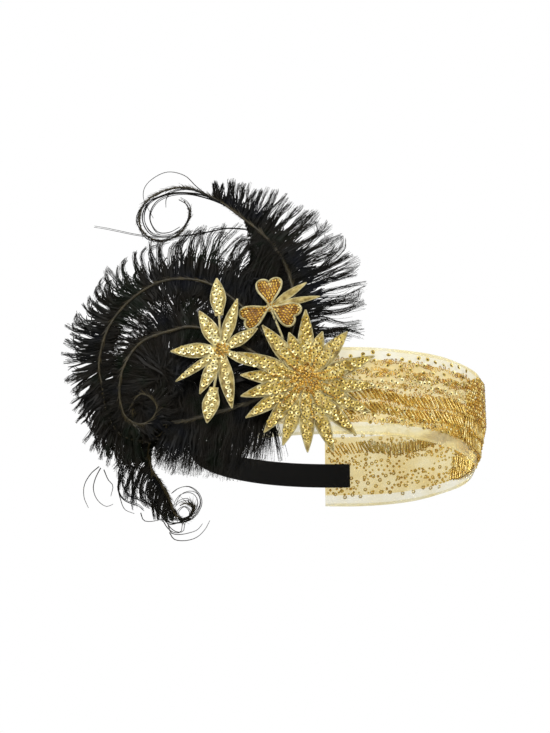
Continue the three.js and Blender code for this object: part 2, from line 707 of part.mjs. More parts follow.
// The net band, a wall that is drawn in along the lower half of its front.
function netBand() {
  const from = loopAngle(NET_NEAR_END, -1);
  const to = loopAngle(NET_FAR_END, 1);
  const steps = Math.ceil((to - from) / LOOP_STEP);
  const section = [
    { offset: NET_WALL / 2, height: -NET_HEIGHT / 2, drawn: 1 },
    { offset: -NET_WALL / 2, height: -NET_HEIGHT / 2, drawn: 1 },
    { offset: -NET_WALL / 2, height: 0, drawn: 0 },
    { offset: -NET_WALL / 2, height: NET_HEIGHT / 2, drawn: 0 },
    { offset: NET_WALL / 2, height: NET_HEIGHT / 2, drawn: 0 },
    { offset: NET_WALL / 2, height: 0, drawn: 0 },
  ];
  const rings = Array.from({ length: steps + 1 }, (_, i) => {
    const angle = from + ((to - from) * i) / steps;
    const front = THREE.MathUtils.smoothstep(loopPoint(angle, 0).x, NET_FOOT_START, LOOP_LENGTH / 2);
    return section.map(({ offset, height, drawn }) => {
      const place = loopPoint(angle, offset - NET_FOOT_DRAW * front * drawn);
      return new THREE.Vector3(place.x, place.y, height);
    });
  });
  return loft(rings);
}

// The elastic runs inside the net at both ends and round the back of the head between them.
function elasticBand() {
  const outer = -NET_WALL / 2 - GAP;
  return loopWall({
    from: loopAngle(NET_FAR_END + SEAM_OVERLAP, 1),
    to: 2 * Math.PI + loopAngle(NET_NEAR_END + SEAM_OVERLAP, -1),
    inner: outer - ELASTIC_WALL,
    outer,
    middle: -ELASTIC_DROP,
    height: ELASTIC_WIDTH,
  });
}

// The felt patch outside the net's end, which carries the quills.
function feltPatch() {
  const inner = NET_WALL / 2 + GAP;
  return loopWall({
    from: loopAngle(BUNDLE_X - FELT_LENGTH / 2, -1),
    to: loopAngle(BUNDLE_X + FELT_LENGTH / 2, -1),
    inner,
    outer: inner + FELT_WALL,
    middle: BUNDLE_Z / 2,
    height: FELT_HEIGHT,
  });
}

const finish = (color, roughness, metalness) =>
  new THREE.MeshStandardMaterial({ color, roughness, metalness, side: THREE.DoubleSide });
const goldNet = finish(0xe9d9a0, 0.7, 0.1);
const blackElastic = finish(0x141414, 0.85, 0);
const blackFelt = finish(0x101010, 0.95, 0);
const blackFeather = finish(0x15140f, 0.6, 0);
const goldSequins = finish(0xd0b25a, 0.35, 0.8);
const amberBeads = finish(0xc98a1e, 0.3, 0.5);

const headband = new THREE.Group();
function addPiece(name, geometry, material) {
  const piece = new THREE.Mesh(geometry, material);
  piece.name = name;
  headband.add(piece);
}

addPiece("net_band", netBand(), goldNet);
addPiece("elastic_band", elasticBand(), blackElastic);
addPiece("felt_patch", feltPatch(), blackFelt);
addPiece("crest_plume", plume(crestPlume), blackFeather);
addPiece("arc_plume", plume(arcPlume), blackFeather);
addPiece("curl_plume", plume(curlPlume), blackFeather);
addPiece("droop_plume", plume(droopPlume), blackFeather);
addPiece("down_tuft", plume(downTuft), blackFeather);
addPiece("star_flower", starFlower(), goldSequins);
addPiece("daisy_flower", daisyFlower(), goldSequins);
addPiece("clover_flower", cloverFlower(), amberBeads);

export default headband;
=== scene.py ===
import json
import math

import bpy
import numpy as np
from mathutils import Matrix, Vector

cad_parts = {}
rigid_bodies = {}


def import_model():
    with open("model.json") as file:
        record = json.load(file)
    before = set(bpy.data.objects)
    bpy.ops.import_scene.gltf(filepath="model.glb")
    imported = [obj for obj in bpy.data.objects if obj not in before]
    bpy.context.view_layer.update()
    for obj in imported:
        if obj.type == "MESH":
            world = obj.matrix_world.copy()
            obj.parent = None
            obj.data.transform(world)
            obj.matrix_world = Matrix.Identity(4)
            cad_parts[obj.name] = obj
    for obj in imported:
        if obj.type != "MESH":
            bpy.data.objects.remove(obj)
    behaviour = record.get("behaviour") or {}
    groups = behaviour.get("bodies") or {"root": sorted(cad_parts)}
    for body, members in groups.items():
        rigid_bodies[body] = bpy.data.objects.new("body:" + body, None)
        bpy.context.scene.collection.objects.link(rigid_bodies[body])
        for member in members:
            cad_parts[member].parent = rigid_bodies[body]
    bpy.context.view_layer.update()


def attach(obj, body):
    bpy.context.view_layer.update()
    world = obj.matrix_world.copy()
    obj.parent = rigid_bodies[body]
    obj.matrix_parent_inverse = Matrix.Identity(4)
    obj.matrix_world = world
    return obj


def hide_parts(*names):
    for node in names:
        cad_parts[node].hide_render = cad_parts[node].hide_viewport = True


# A feather headband, in metres, +Z up as worn, +X towards the front of the head, -Y towards the side that
# carries the spray. Sizes below are in millimetres until a piece is made.
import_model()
rng = np.random.default_rng(11)

LOOP_LENGTH = 190.0
LOOP_WIDTH = 140.0
LOOP_SQUARENESS = 2.2
NET_HEIGHT = 58.0
NET_WALL = 1.0
NET_FAR_END = -5.5
NET_NEAR_END = -50.0
NET_FOOT_DRAW = 6.0
NET_FOOT_START = 30.0
HEM = 8.0
ELASTIC_WIDTH = 17.0
ELASTIC_WALL = 1.2
ELASTIC_DROP = 7.5
SEAM_OVERLAP = 17.0
FELT_WALL = 1.5
FELT_HEIGHT = 44.0
FELT_LENGTH = 46.0
GAP = 0.3
BUNDLE_X = -36.0
BUNDLE_Z = 8.0
QUILL_DIAMETER = 2.6

LAYER_PITCH = QUILL_DIAMETER + GAP
BACK_LAYER, MIDDLE_LAYER, FRONT_LAYER = (
    2 * GAP + FELT_WALL + QUILL_DIAMETER / 2 + i * LAYER_PITCH for i in range(3)
)
STACK_TOP = FRONT_LAYER + QUILL_DIAMETER / 2 + GAP


# Places on the headband.


def loop_point(angle, offset):
    """Points on the loop round the head, grown outwards by offset, as an array of x and y."""
    power = 2 / LOOP_SQUARENESS
    c, s = np.cos(angle), np.sin(angle)
    x = (LOOP_LENGTH / 2 + offset) * np.sign(c) * np.abs(c) ** power
    y = (LOOP_WIDTH / 2 + offset) * np.sign(s) * np.abs(s) ** power
    return np.stack([x, y], -1)


def loop_angle(x, side):
    """The loop's angle at x, on the far side (1) or the side of the spray (-1)."""
    share = x / (LOOP_LENGTH / 2)
    return side * math.acos(math.copysign(abs(share) ** (LOOP_SQUARENESS / 2), share))


def even_angles(start, end, step):
    """Angles from start to end that are about step apart along the loop, and their distance along it."""
    fine = np.linspace(start, end, 2000)
    run = np.linalg.norm(np.diff(loop_point(fine, 0), axis=0), axis=1)
    along = np.concatenate([[0], np.cumsum(run)])
    count = max(2, int(round(along[-1] / step)))
    marks = np.linspace(0, along[-1], count + 1)
    return np.interp(marks, along, fine), marks


def spray_y(x):
    """The spray's own surface: the net's outer face as far as the bundle, then flat on, at a tangent."""
    tangent_x = BUNDLE_X + QUILL_DIAMETER / 2
    half_length, half_width = (LOOP_LENGTH + NET_WALL) / 2, (LOOP_WIDTH + NET_WALL) / 2

    def face(at):
        share = np.minimum(1, np.abs(at / half_length))
        return -half_width * (1 - share**LOOP_SQUARENESS) ** (1 / LOOP_SQUARENESS)

    slope = (face(tangent_x + 0.01) - face(tangent_x - 0.01)) / 0.02
    beyond = face(tangent_x) + slope * (x - tangent_x)
    return np.where(x >= tangent_x, face(np.maximum(x, tangent_x)), beyond)


def on_spray(points):
    """Turns x, z and depth outwards from the spray's surface, in millimetres, into points in millimetres."""
    x, z, depth = points[..., 0], points[..., 1], points[..., 2]
    return np.stack([x, spray_y(x) - depth, z], -1)


# Making meshes from arrays. Faces are lists of arrays, one array for each number of corners.


class Heap:
    """Gathers many small meshes, with points in millimetres, into one piece."""

    def __init__(self):
        self.points, self.faces, self.ids, self.finishes, self.count = [], [], [], [], 0

    def add(self, points, faces, finish):
        points = np.asarray(points, float).reshape(-1, 3)
        if finish not in self.finishes:
            self.finishes.append(finish)
        for group in faces:
            self.faces.append(group + self.count)
            self.ids.append(np.full(len(group), self.finishes.index(finish)))
        self.points.append(points)
        self.count += len(points)

    def make(self, name, slot, uv=None):
        """The piece, which rides on the headband."""
        sizes = np.concatenate([np.full(len(group), group.shape[1]) for group in self.faces])
        corners = np.concatenate([group.ravel() for group in self.faces]).astype(np.int32)
        mesh = bpy.data.meshes.new(name)
        mesh.vertices.add(self.count)
        mesh.vertices.foreach_set("co", (np.concatenate(self.points) / 1000).astype(np.float32).ravel())
        mesh.loops.add(len(corners))
        mesh.loops.foreach_set("vertex_index", corners)
        mesh.polygons.add(len(sizes))
        mesh.polygons.foreach_set("loop_start", (np.cumsum(sizes) - sizes).astype(np.int32))
        mesh.polygons.foreach_set("loop_total", sizes.astype(np.int32))
        mesh.polygons.foreach_set("use_smooth", np.ones(len(sizes), bool))
        for finish in self.finishes:
            mesh.materials.append(finish)
        mesh.polygons.foreach_set("material_index", np.concatenate(self.ids).astype(np.int32))
        if uv is not None:
            mesh.uv_layers.new(name="UVMap").data.foreach_set("uv", uv.astype(np.float32)[corners].ravel())
        mesh.update(calc_edges=True)
        made = bpy.data.objects.new(name, mesh)
        bpy.context.scene.collection.objects.link(made)
        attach(made, "root")
        return made


def unit(vectors):
    return vectors / np.maximum(np.linalg.norm(vectors, axis=-1, keepdims=True), 1e-9)


def circle(sides):
    """Even angles round a circle."""
    return 2 * math.pi * np.arange(sides) / sides


def ease(low, high, value):
    """A smooth rise from 0 to 1 between low and high."""
    share = np.clip((value - low) / (high - low), 0, 1)
    return share * share * (3 - 2 * share)


def frames(origins, normals, along):
    """Matrices whose third axis is the normal and whose first runs along, square to it."""
    z = unit(normals)
    x = unit(along - (along * z).sum(1, keepdims=True) * z)
    result = np.tile(np.eye(4), (len(origins), 1, 1))
    result[:, :3] = np.stack([x, np.cross(z, x), z, origins], -1)
    return result


def grid_faces(rows, columns, closed=False):
    """Quads between rows of points with so many columns, closed round if asked."""
    across = columns if closed else columns - 1
    r, c = np.meshgrid(np.arange(rows - 1), np.arange(across), indexing="ij")
    a = (r * columns + c).ravel()
    b = (r * columns + (c + 1) % columns).ravel()
    return [np.stack([a, b, b + columns, a + columns], -1)]


def repeated(faces, count, size):
    """The faces of a mesh with this size in points, for so many meshes in a row."""
    starts = np.arange(count)[:, None, None] * size
    return [(group[None] + starts).reshape(-1, group.shape[1]) for group in faces]


def copies(points, faces, places):
    """One small mesh set down many times: places is an array of 4 by 4 matrices."""
    moved = np.einsum("nij,vj->nvi", places[:, :3, :3], points) + places[:, None, :3, 3]
    return moved.reshape(-1, 3), repeated(faces, len(places), len(points))


def sides_of(paths):
    """Unit ways square to each path, one level with the spray and one out of it."""
    heading = unit(np.gradient(paths, axis=1))
    across = unit(np.cross(heading, np.array([0.05, -1.0, 0.03])))
    return across, np.cross(across, heading)


def tubes(paths, radii, sides):
    """Tubes along many paths at once: paths is strands by steps by 3. Radii may be a number or one a step."""
    count, steps = paths.shape[:2]
    across, over = sides_of(paths)
    turn = circle(sides)[:, None]
    ring = across[:, :, None] * np.cos(turn) + over[:, :, None] * np.sin(turn)
    points = paths[:, :, None] + np.broadcast_to(radii, (count, steps))[..., None, None] * ring
    return points.reshape(-1, 3), repeated(grid_faces(steps, sides, closed=True), count, steps * sides)


def ribbons(paths, widths, roll):
    """Flat strips along many paths at once, each rolled about its own way by an angle."""
    count, steps = paths.shape[:2]
    across, over = sides_of(paths)
    roll = roll[:, None, None]
    side = (across * np.cos(roll) + over * np.sin(roll)) * widths[..., None] / 2
    points = np.stack([paths - side, paths + side], 2)
    return points.reshape(-1, 3), repeated(grid_faces(steps, 2), count, steps * 2)


def even_path(points, step):
    """A smooth curve through points, as points about step apart."""
    points = np.asarray(points, float)
    padded = np.vstack([2 * points[0] - points[1], points, 2 * points[-1] - points[-2]])
    curve = []
    for p0, p1, p2, p3 in zip(padded, padded[1:], padded[2:], padded[3:]):
        d0, d1, d2 = (max(np.linalg.norm(b - a) ** 0.5, 1e-4) for a, b in ((p0, p1), (p1, p2), (p2, p3)))
        m1 = ((p1 - p0) / d0 - (p2 - p0) / (d0 + d1) + (p2 - p1) / d1) * d1
        m2 = ((p2 - p1) / d1 - (p3 - p1) / (d1 + d2) + (p3 - p2) / d2) * d1
        t = np.linspace(0, 1, 24, endpoint=False)[:, None]
        curve.append(p1 + m1 * t + (3 * (p2 - p1) - 2 * m1 - m2) * t**2 + (2 * (p1 - p2) + m1 + m2) * t**3)
    curve = np.vstack([*curve, points[-1:]])
    along = np.concatenate([[0], np.cumsum(np.linalg.norm(np.diff(curve, axis=0), axis=1))])
    marks = np.linspace(0, along[-1], max(2, int(round(along[-1] / step)) + 1))
    return np.stack([np.interp(marks, along, curve[:, i]) for i in range(points.shape[1])], -1)


# Small meshes that are set down many times.


def lathe(profile, sides):
    """Rings round the third axis, each with a radius and a height."""
    turn = circle(sides)
    rings = [np.stack([r * np.cos(turn), r * np.sin(turn), np.full(sides, z)], -1) for r, z in profile]
    return np.concatenate(rings), grid_faces(len(profile), sides, closed=True)


def sequin_mesh(radius, hole):
    """A cupped round sequin with its hole."""
    return lathe([(radius, 0.26), (radius * 0.66, 0.12), (hole, 0.0)], 10)


def disc_mesh(radius, height, sides=6):
    """A flat disc, which is set in a hole as its painted shade."""
    return lathe([(radius, height)], sides)[0], [np.arange(sides)[None]]


def bead_mesh(radius, stretch, rows, sides):
    """A round bead, stretched along its own first axis."""
    tilt = np.linspace(0, math.pi, rows + 2)[1:-1]
    body, faces = lathe([(radius * math.sin(t), radius * stretch * math.cos(t)) for t in tilt], sides)
    points = np.vstack([np.roll(body, 1, axis=1), [[radius * stretch, 0, 0], [-radius * stretch, 0, 0]]])
    first, last = np.arange(sides), (rows - 1) * sides + np.arange(sides)
    start, end = np.full(sides, len(body)), np.full(sides, len(body) + 1)
    caps = [[start, np.roll(first, -1), first], [end, last, np.roll(last, -1)]]
    return points, [*faces, np.concatenate([np.stack(cap, -1) for cap in caps])]


def bugle_mesh(radius, length):
    """A short tube bead with dished ends, along its own first axis."""
    stations = [(-0.5, 0.45), (-0.5, 0.95), (-0.42, 1.0), (0.42, 1.0), (0.5, 0.95), (0.5, 0.45)]
    points, faces = lathe([(radius * r, length * x) for x, r in stations], 6)
    return np.roll(points, 1, axis=1), [group[:, ::-1] for group in faces]


# Materials.

SHADER = "Principled BSDF"


def node(made, kind, **settings):
    """A new node in a material. Settings that name a socket set its value, and the others the node's own."""
    new = made.node_tree.nodes.new("ShaderNode" + kind)
    for key, value in settings.items():
        socket = new.inputs.get(key.replace("_", " "))
        if socket is not None and not hasattr(new, key):
            socket.default_value = value
        else:
            setattr(new, key, value)
    return new


def link(made, a, out, b, into):
    made.node_tree.links.new(a.outputs[out], b.inputs[into])


def material(name, color, roughness, **sockets):
    made = bpy.data.materials.new(name)
    made.use_nodes = True
    shader = made.node_tree.nodes[SHADER]
    shader.inputs["Base Color"].default_value = (*color, 1)
    shader.inputs["Roughness"].default_value = roughness
    for socket, value in sockets.items():
        shader.inputs[socket.replace("_", " ")].default_value = value
    return made


def texture(made, kind, space="Object", scale=(1, 1, 1), rotation=(0, 0, 0), **settings):
    """A texture on a piece's own coordinates."""
    new = node(made, "Tex" + kind, **settings)
    mapping = node(made, "Mapping", Scale=scale, Rotation=rotation)
    link(made, node(made, "TexCoord"), space, mapping, "Vector")
    link(made, mapping, "Vector", new, "Vector")
    return new


def tint(made, source, out, stops):
    """Colours a material by a node's output, with stops of a place and a colour."""
    ramp = node(made, "ValToRGB")
    link(made, source, out, ramp, "Fac")
    elements = ramp.color_ramp.elements
    while len(elements) < len(stops):
        elements.new(0.5)
    for element, (place, color) in zip(elements, stops):
        element.position = place
        element.color = (*color, 1)
    link(made, ramp, "Color", made.node_tree.nodes[SHADER], "Base Color")


def bump(made, source, out, strength, distance):
    new = node(made, "Bump", Strength=strength, Distance=distance)
    link(made, source, out, new, "Height")
    link(made, new, "Normal", made.node_tree.nodes[SHADER], "Normal")


def feather_material():
    """Near black, with faint blue, brown and green casts in patches."""
    made = material("black_feather", (0.005, 0.005, 0.004), 0.5, Specular_IOR_Level=0.14)
    casts = [
        (0.3, (0.003, 0.004, 0.008)),
        (0.42, (0.004, 0.004, 0.003)),
        (0.55, (0.009, 0.007, 0.004)),
        (0.66, (0.003, 0.007, 0.002)),
        (0.8, (0.016, 0.011, 0.005)),
    ]
    tint(made, texture(made, "Noise", Scale=34.0, Detail=3.0, Roughness=0.6), "Fac", casts)
    return made


def quill_material():
    made = material("quill", (0.04, 0.03, 0.013), 0.42, Specular_IOR_Level=0.4)
    streaks = texture(made, "Noise", Scale=220.0, Detail=4.0, Roughness=0.7)
    tint(made, streaks, "Fac", [(0.3, (0.012, 0.01, 0.003)), (0.7, (0.062, 0.046, 0.014))])
    bump(made, streaks, "Fac", 0.3, 0.0002)
    return made


def bead_material(name, roughness, metallic, *stops):
    """Glass or foil that differs from cell to cell, and so from bead to bead."""
    made = material(name, stops[len(stops) // 2][1], roughness, Metallic=metallic, Coat_Weight=0.3)
    tint(made, texture(made, "Voronoi", Scale=420.0), "Color", stops)
    return made


def thread_material(name, *stops):
    """Satin stitches of metallic thread, slanting across."""
    made = material(name, stops[len(stops) // 2][1], 0.45, Metallic=0.3, Sheen_Weight=0.3)
    waves = texture(made, "Wave", rotation=(0.3, 0.6, 0.7), Scale=420.0, Distortion=1.2, Detail=2.0)
    tint(made, texture(made, "Noise", Scale=240.0, Detail=3.0), "Fac", stops)
    bump(made, waves, "Fac", 0.5, 0.0002)
    return made


def net_material(name, thin, thick, *stops):
    """Sheer net, whose cover lies between thin and thick."""
    made = material(name, stops[1][1], 0.6, Transmission_Weight=0.65, IOR=1.03)
    weave = texture(made, "Voronoi", Scale=900.0, feature="DISTANCE_TO_EDGE")
    cloud = texture(made, "Noise", Scale=60.0, Detail=4.0, Roughness=0.6)
    tint(made, cloud, "Fac", stops)
    cover = node(made, "MapRange", From_Min=0.3, From_Max=0.75, To_Min=thick, To_Max=thin)
    link(made, cloud, "Fac", cover, "Value")
    link(made, cover, "Result", made.node_tree.nodes[SHADER], "Alpha")
    bump(made, weave, "Distance", 0.5, 0.0004)
    return made


def woven_material():
    """Ribs along the elastic, crossed by its picks."""
    made = material("black_elastic", (0.005, 0.005, 0.005), 0.8, Sheen_Weight=0.05, Specular_IOR_Level=0.2)
    ribs = texture(made, "Wave", "UV", (1, 14, 1), Scale=1.0, bands_direction="Y", Distortion=0.4)
    picks = texture(made, "Wave", "UV", (150, 1, 1), Scale=1.0, bands_direction="X", Distortion=0.6)
    both = node(made, "Math", operation="MULTIPLY")
    link(made, ribs, "Fac", both, 0)
    link(made, picks, "Fac", both, 1)
    tint(made, both, "Value", [(0.1, (0.003, 0.003, 0.003)), (0.9, (0.012, 0.012, 0.012))])
    bump(made, both, "Value", 0.8, 0.0005)
    return made


def felt_material():
    made = material("black_felt", (0.01, 0.01, 0.01), 0.95, Sheen_Weight=0.4, Sheen_Roughness=0.6)
    fuzz = texture(made, "Noise", Scale=900.0, Detail=6.0, Roughness=0.8)
    tint(made, fuzz, "Fac", [(0.3, (0.005, 0.005, 0.005)), (0.7, (0.02, 0.02, 0.02))])
    bump(made, fuzz, "Fac", 0.7, 0.0006)
    return made


black_feather = feather_material()
quill_brown = quill_material()
gold_sequin = bead_material(
    "gold_sequin",
    0.34,
    0.3,
    (0.1, (0.33, 0.2, 0.02)),
    (0.4, (0.54, 0.38, 0.065)),
    (0.7, (0.74, 0.57, 0.15)),
    (0.95, (0.94, 0.84, 0.42)),
)
pale_sequin = bead_material(
    "pale_sequin",
    0.3,
    0.25,
    (0.1, (0.66, 0.48, 0.12)),
    (0.5, (0.87, 0.74, 0.3)),
    (0.9, (0.96, 0.89, 0.52)),
)
gold_bead = bead_material(
    "gold_bead",
    0.28,
    0.45,
    (0.1, (0.45, 0.26, 0.03)),
    (0.35, (0.75, 0.51, 0.1)),
    (0.65, (0.9, 0.68, 0.2)),
    (0.95, (0.97, 0.87, 0.48)),
)
amber_bead = bead_material(
    "amber_bead",
    0.18,
    0.25,
    (0.1, (0.27, 0.115, 0.008)),
    (0.45, (0.63, 0.33, 0.03)),
    (0.75, (0.85, 0.54, 0.08)),
    (0.95, (0.97, 0.8, 0.32)),
)
# Gold thread, partly painted shade: its darkest stop makes dark brown patches, scattered at random, that
# stand for the shadows between the sequins.
gold_stitches_and_painted_shade = thread_material(
    "gold_stitches_and_painted_shade", (0.35, (0.2, 0.13, 0.025)), (0.5, (0.44, 0.33, 0.09)), (0.68, (0.67, 0.54, 0.22)),
)
khaki_cord = thread_material(
    "khaki_cord", (0.3, (0.42, 0.35, 0.14)), (0.55, (0.6, 0.52, 0.25)), (0.75, (0.76, 0.69, 0.4)),
)
# Painted shade: a dark brown for the discs set in the holes of sequins and beads, standing for the shadow in
# each hole.
painted_hole_shade = material("painted_hole_shade", (0.075, 0.04, 0.008), 0.7)
amber_cloth = material("amber_cloth", (0.22, 0.1, 0.015), 0.6)
gold_net = net_material(
    "gold_net", 0.85, 0.95, (0.3, (0.8, 0.5, 0.08)), (0.5, (0.9, 0.64, 0.15)), (0.7, (0.97, 0.77, 0.26)),
)
pale_hem = net_material(
    "pale_hem", 0.7, 0.85, (0.3, (0.95, 0.82, 0.43)), (0.52, (0.97, 0.89, 0.56)), (0.75, (0.99, 0.94, 0.7)),
)
black_elastic = woven_material()
black_felt = felt_material()


# The net band, its beads, the elastic and the felt.

net_angles, net_marks = even_angles(loop_angle(NET_NEAR_END, -1), loop_angle(NET_FAR_END, 1), 2.5)
NET_LENGTH = net_marks[-1]
FRONT_MARK = float(np.interp(0, net_angles, net_marks))
# The net lies round the forehead between two distances along it. Its inside is bare near both of its ends.
FOREHEAD = 45.0
FOREHEAD_START, FOREHEAD_END = FRONT_MARK - FOREHEAD, FRONT_MARK + FOREHEAD
BARE_NEAR = 40
BARE_FAR = 26
BUGLE_LENGTH = 8.5
# A dark disc under each sequin's hole: painted shade for the shadow seen through the hole.
HOLE_SHADE_DISC = disc_mesh(0.62, 0.02)


def on_forehead(along):
    return np.abs(along - FRONT_MARK) < FOREHEAD


def net_point(angle, height, lift):
    """Points lifted off the middle of the net's wall, which is drawn in low down along its front."""
    low = np.clip(-height / (NET_HEIGHT / 2), 0, 1)
    draw = NET_FOOT_DRAW * ease(NET_FOOT_START, LOOP_LENGTH / 2, loop_point(angle, 0)[..., 0]) * low
    return np.concatenate([loop_point(angle, lift - draw), height[..., None]], -1)


def net_place(along, height, lift):
    """Points on the net at a distance from its near end, a height, and a lift off its outer face."""
    angle = np.interp(along, net_marks, net_angles)
    return net_point(angle, np.broadcast_to(height, angle.shape), NET_WALL / 2 + lift)


def net_frames(along, height, lift, slant, tilt=0.0):
    """Matrices for small things on the net that lie at a slant, in radians from the way along it."""
    ahead = unit(net_place(along + 0.5, height, lift) - net_place(along - 0.5, height, lift))
    up = np.array([0.0, 0, 1])
    way = ahead * np.cos(slant)[:, None] + up * np.sin(slant)[:, None]
    normals = np.cross(ahead, up) + way * np.reshape(tilt, (-1, 1))
    return frames(net_place(along, height, lift), normals, way)


def net_strip(heap, heights, finish, lift=0.0):
    """The net between some heights, rippled towards its edges."""
    along, height = np.meshgrid(net_marks, heights)
    edge = (np.abs(height) / (NET_HEIGHT / 2)) ** 4
    ripple = 0.3 * edge * np.sin(along / 7.0 + height) + 0.15 * np.sin(along / 11.0 + height / 6)
    angle = np.interp(along, net_marks, net_angles)
    heap.add(net_point(angle, height, ripple + lift), grid_faces(*along.shape), finish)


def make_net():
    """Golden net between two pale hems, each turned in along its edge."""
    edge = NET_HEIGHT / 2
    heap = Heap()
    net_strip(heap, np.linspace(HEM - edge, edge - HEM, 22), gold_net)
    net_strip(heap, np.linspace(-edge, HEM - edge, 5), pale_hem)
    net_strip(heap, np.linspace(edge - HEM, edge, 5), pale_hem)
    for side in (-1, 1):
        net_strip(heap, side * np.array([edge, edge - 1, edge - 2]), pale_hem, -0.35)
    net = heap.make("net", "gold_net")
    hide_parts("net_band")


def thin_out(along, height, apart):
    """The indices of points that keep this far apart, in the order given."""
    kept = []
    cells = {}
    for i, (a, h) in enumerate(zip(along, height)):
        row, column = int(a // apart), int(h // apart)
        near = [k for r in (-1, 0, 1) for c in (-1, 0, 1) for k in cells.get((row + r, column + c), [])]
        if all((along[k] - a) ** 2 + (height[k] - h) ** 2 > apart * apart for k in near):
            cells.setdefault((row, column), []).append(i)
            kept.append(i)
    return np.array(kept)


def bugle_rows(first, last, heights, step, leans):
    """Bugles in rows along the net between two distances: a distance, a height and a slant for each."""
    rows = []
    for height in heights:
        along = np.arange(first, last, step) + rng.uniform(0, step)
        count = len(along)
        waved = height + 1.8 * np.sin(along / 9.0) + rng.normal(0, 0.2, count)
        slant = np.radians(np.interp(along, (first, last), leans)) + rng.normal(0, 0.07, count)
        rows.append(np.column_stack([along + rng.normal(0, 0.2, count), waved, slant]))
    return np.concatenate(rows)


def make_bugles():
    """Slanting rows of bugles, and upright ones round the forehead."""
    rows = [
        bugle_rows(4, FOREHEAD_START, (-12.5, -3.5), 2.7, (-48, -58)),
        bugle_rows(FOREHEAD_START, FOREHEAD_END, (-17, -8.5), 2.5, (86, 86)),
        bugle_rows(FOREHEAD_END, NET_LENGTH - 4, (12,), 2.2, (112, 52)),
    ]
    bugles = np.concatenate(rows)
    along, height, slant = bugles.T
    heap = Heap()
    places = net_frames(along, height, 0.8, slant, rng.normal(0, 0.04, len(bugles)))
    heap.add(*copies(*bugle_mesh(0.52, BUGLE_LENGTH), places), gold_bead)
    heap.make("net_bugles", "gold_sequins")
    return bugles


def make_seed_beads():
    """Seed beads in drifts between the bugles, and in a lattice round the forehead."""
    count = 9000
    along = rng.uniform(2, NET_LENGTH - 2, count)
    height = rng.uniform(-20, 27, count)
    wave = np.sin(along / 6.0 + height / 2.5) + np.sin(along / 11.0 - height / 3.5)
    least = np.where(along > FOREHEAD_END, -0.1, -0.55)
    clear = (along > FOREHEAD_START) | (np.abs(height + 8) > 9)
    edge = 16 + 3 * np.sin(along / 7.0)
    fits = ~on_forehead(along) & clear & (wave > least) & (height < edge)
    kept = thin_out(along[fits], height[fits], 2.35)

    row, column = np.meshgrid(np.arange(14), np.arange(FOREHEAD_START, FOREHEAD_END, 2.6))
    lattice = column + 1.3 * (row % 2) + rng.normal(0, 0.18, row.shape)
    level = -4 + 2.3 * row + 1.2 * np.sin(column / 8.0) + rng.normal(0, 0.18, row.shape)
    below = level < 27 - 9 * ease(0.45, 1.0, np.abs(lattice - FRONT_MARK) / FOREHEAD)
    along = np.concatenate([along[fits][kept], lattice[below]])
    height = np.concatenate([height[fits][kept], level[below]])

    front = on_forehead(along)
    pick = rng.random(len(along))
    kinds = (
        (gold_bead, 1.0, ~front & (pick >= 0.5)),
        (amber_bead, 1.1, np.where(front, pick < 0.62, pick < 0.08)),
        (pale_sequin, 0.8, ~front & (pick >= 0.08) & (pick < 0.5)),
        (gold_bead, 1.3, front & (pick >= 0.62)),
    )
    heap = Heap()
    for finish, radius, group in kinds:
        places = net_frames(along[group], height[group], 0.9, rng.uniform(0, math.pi, group.sum()))
        heap.add(*copies(*bead_mesh(radius, 0.85, 3, 7), places), finish)
        # A dark disc on top of each bead, as far as the forehead's end, is painted shade for the shadow in
        # its hole.
        near = places[along[group] < FOREHEAD_END]
        heap.add(*copies(*disc_mesh(0.36, 0.98 * radius), near), painted_hole_shade)
    heap.make("net_seed_beads", "amber_beads")


def make_sequins():
    """Sequins in a wavy line along the net, and scattered near its edges."""
    count = 4000
    along = rng.uniform(2, NET_LENGTH - 2, count)
    height = rng.uniform(-22, 25, count)
    beside = ~on_forehead(along)
    line = beside & (np.abs(height - 4.5 - 2.5 * np.sin(along / 13.0)) < 2.4)
    far = along > FOREHEAD_END
    scattered = (height > 9) | (far & (height < -6)) | (beside & (height < -12))
    heap = Heap()
    for group, apart, finish in ((line, 2.9, pale_sequin), (scattered & ~line, 4.8, gold_sequin)):
        kept = thin_out(along[group], height[group], apart)
        a, h = along[group][kept], height[group][kept]
        tilt = rng.normal(0, 0.18, len(kept))
        places = net_frames(a, h, 1.45, rng.uniform(0, 2 * math.pi, len(kept)), tilt)
        heap.add(*copies(*sequin_mesh(1.4, 0.55), places), finish)
        # Dark discs under the sequins' holes are painted shade.
        heap.add(*copies(*HOLE_SHADE_DISC, places[a < FOREHEAD_END]), painted_hole_shade)
    heap.make("net_sequins", "gold_sequins")


def make_net_threads(bugles):
    """Gold threads that scroll over the net and inside it, and the stitches inside that hold the bugles."""
    step = 0.55
    outside = (2, NET_LENGTH - 2, 0.3)
    inside = (BARE_NEAR, NET_LENGTH - BARE_FAR, -NET_WALL - 0.3)
    heap = Heap()
    for row, height in enumerate(np.linspace(-19, 19, 9)):
        first, last, lift = inside if row % 2 else outside
        s = np.arange(0, 900, step)
        swing = 1.95 + 0.35 * np.sin(s / 17.0 + height)
        heading = swing * np.sin(s / rng.uniform(1.0, 1.5) + rng.uniform(0, 6)) + 0.5 * np.sin(s / 7.0)
        along = 3 + np.cumsum(np.cos(heading)) * step
        level = height + np.clip(np.cumsum(np.sin(heading)) * step, -4, 4)
        fits = (along > first) & (along < last)
        heap.add(*tubes(net_place(along[fits], level[fits], lift)[None], 0.3, 3), amber_bead)
    a, h, slant = bugles[(bugles[:, 0] > BARE_NEAR) & (bugles[:, 0] < NET_LENGTH - BARE_FAR)].T
    reach = np.linspace(-BUGLE_LENGTH / 2, BUGLE_LENGTH / 2, 4)[:, None]
    inner = net_place(a + reach * np.cos(slant), h + reach * np.sin(slant), -NET_WALL - 0.25)
    heap.add(*tubes(np.swapaxes(inner, 0, 1), 0.85, 5), gold_bead)
    heap.make("net_threads", "gold_net")


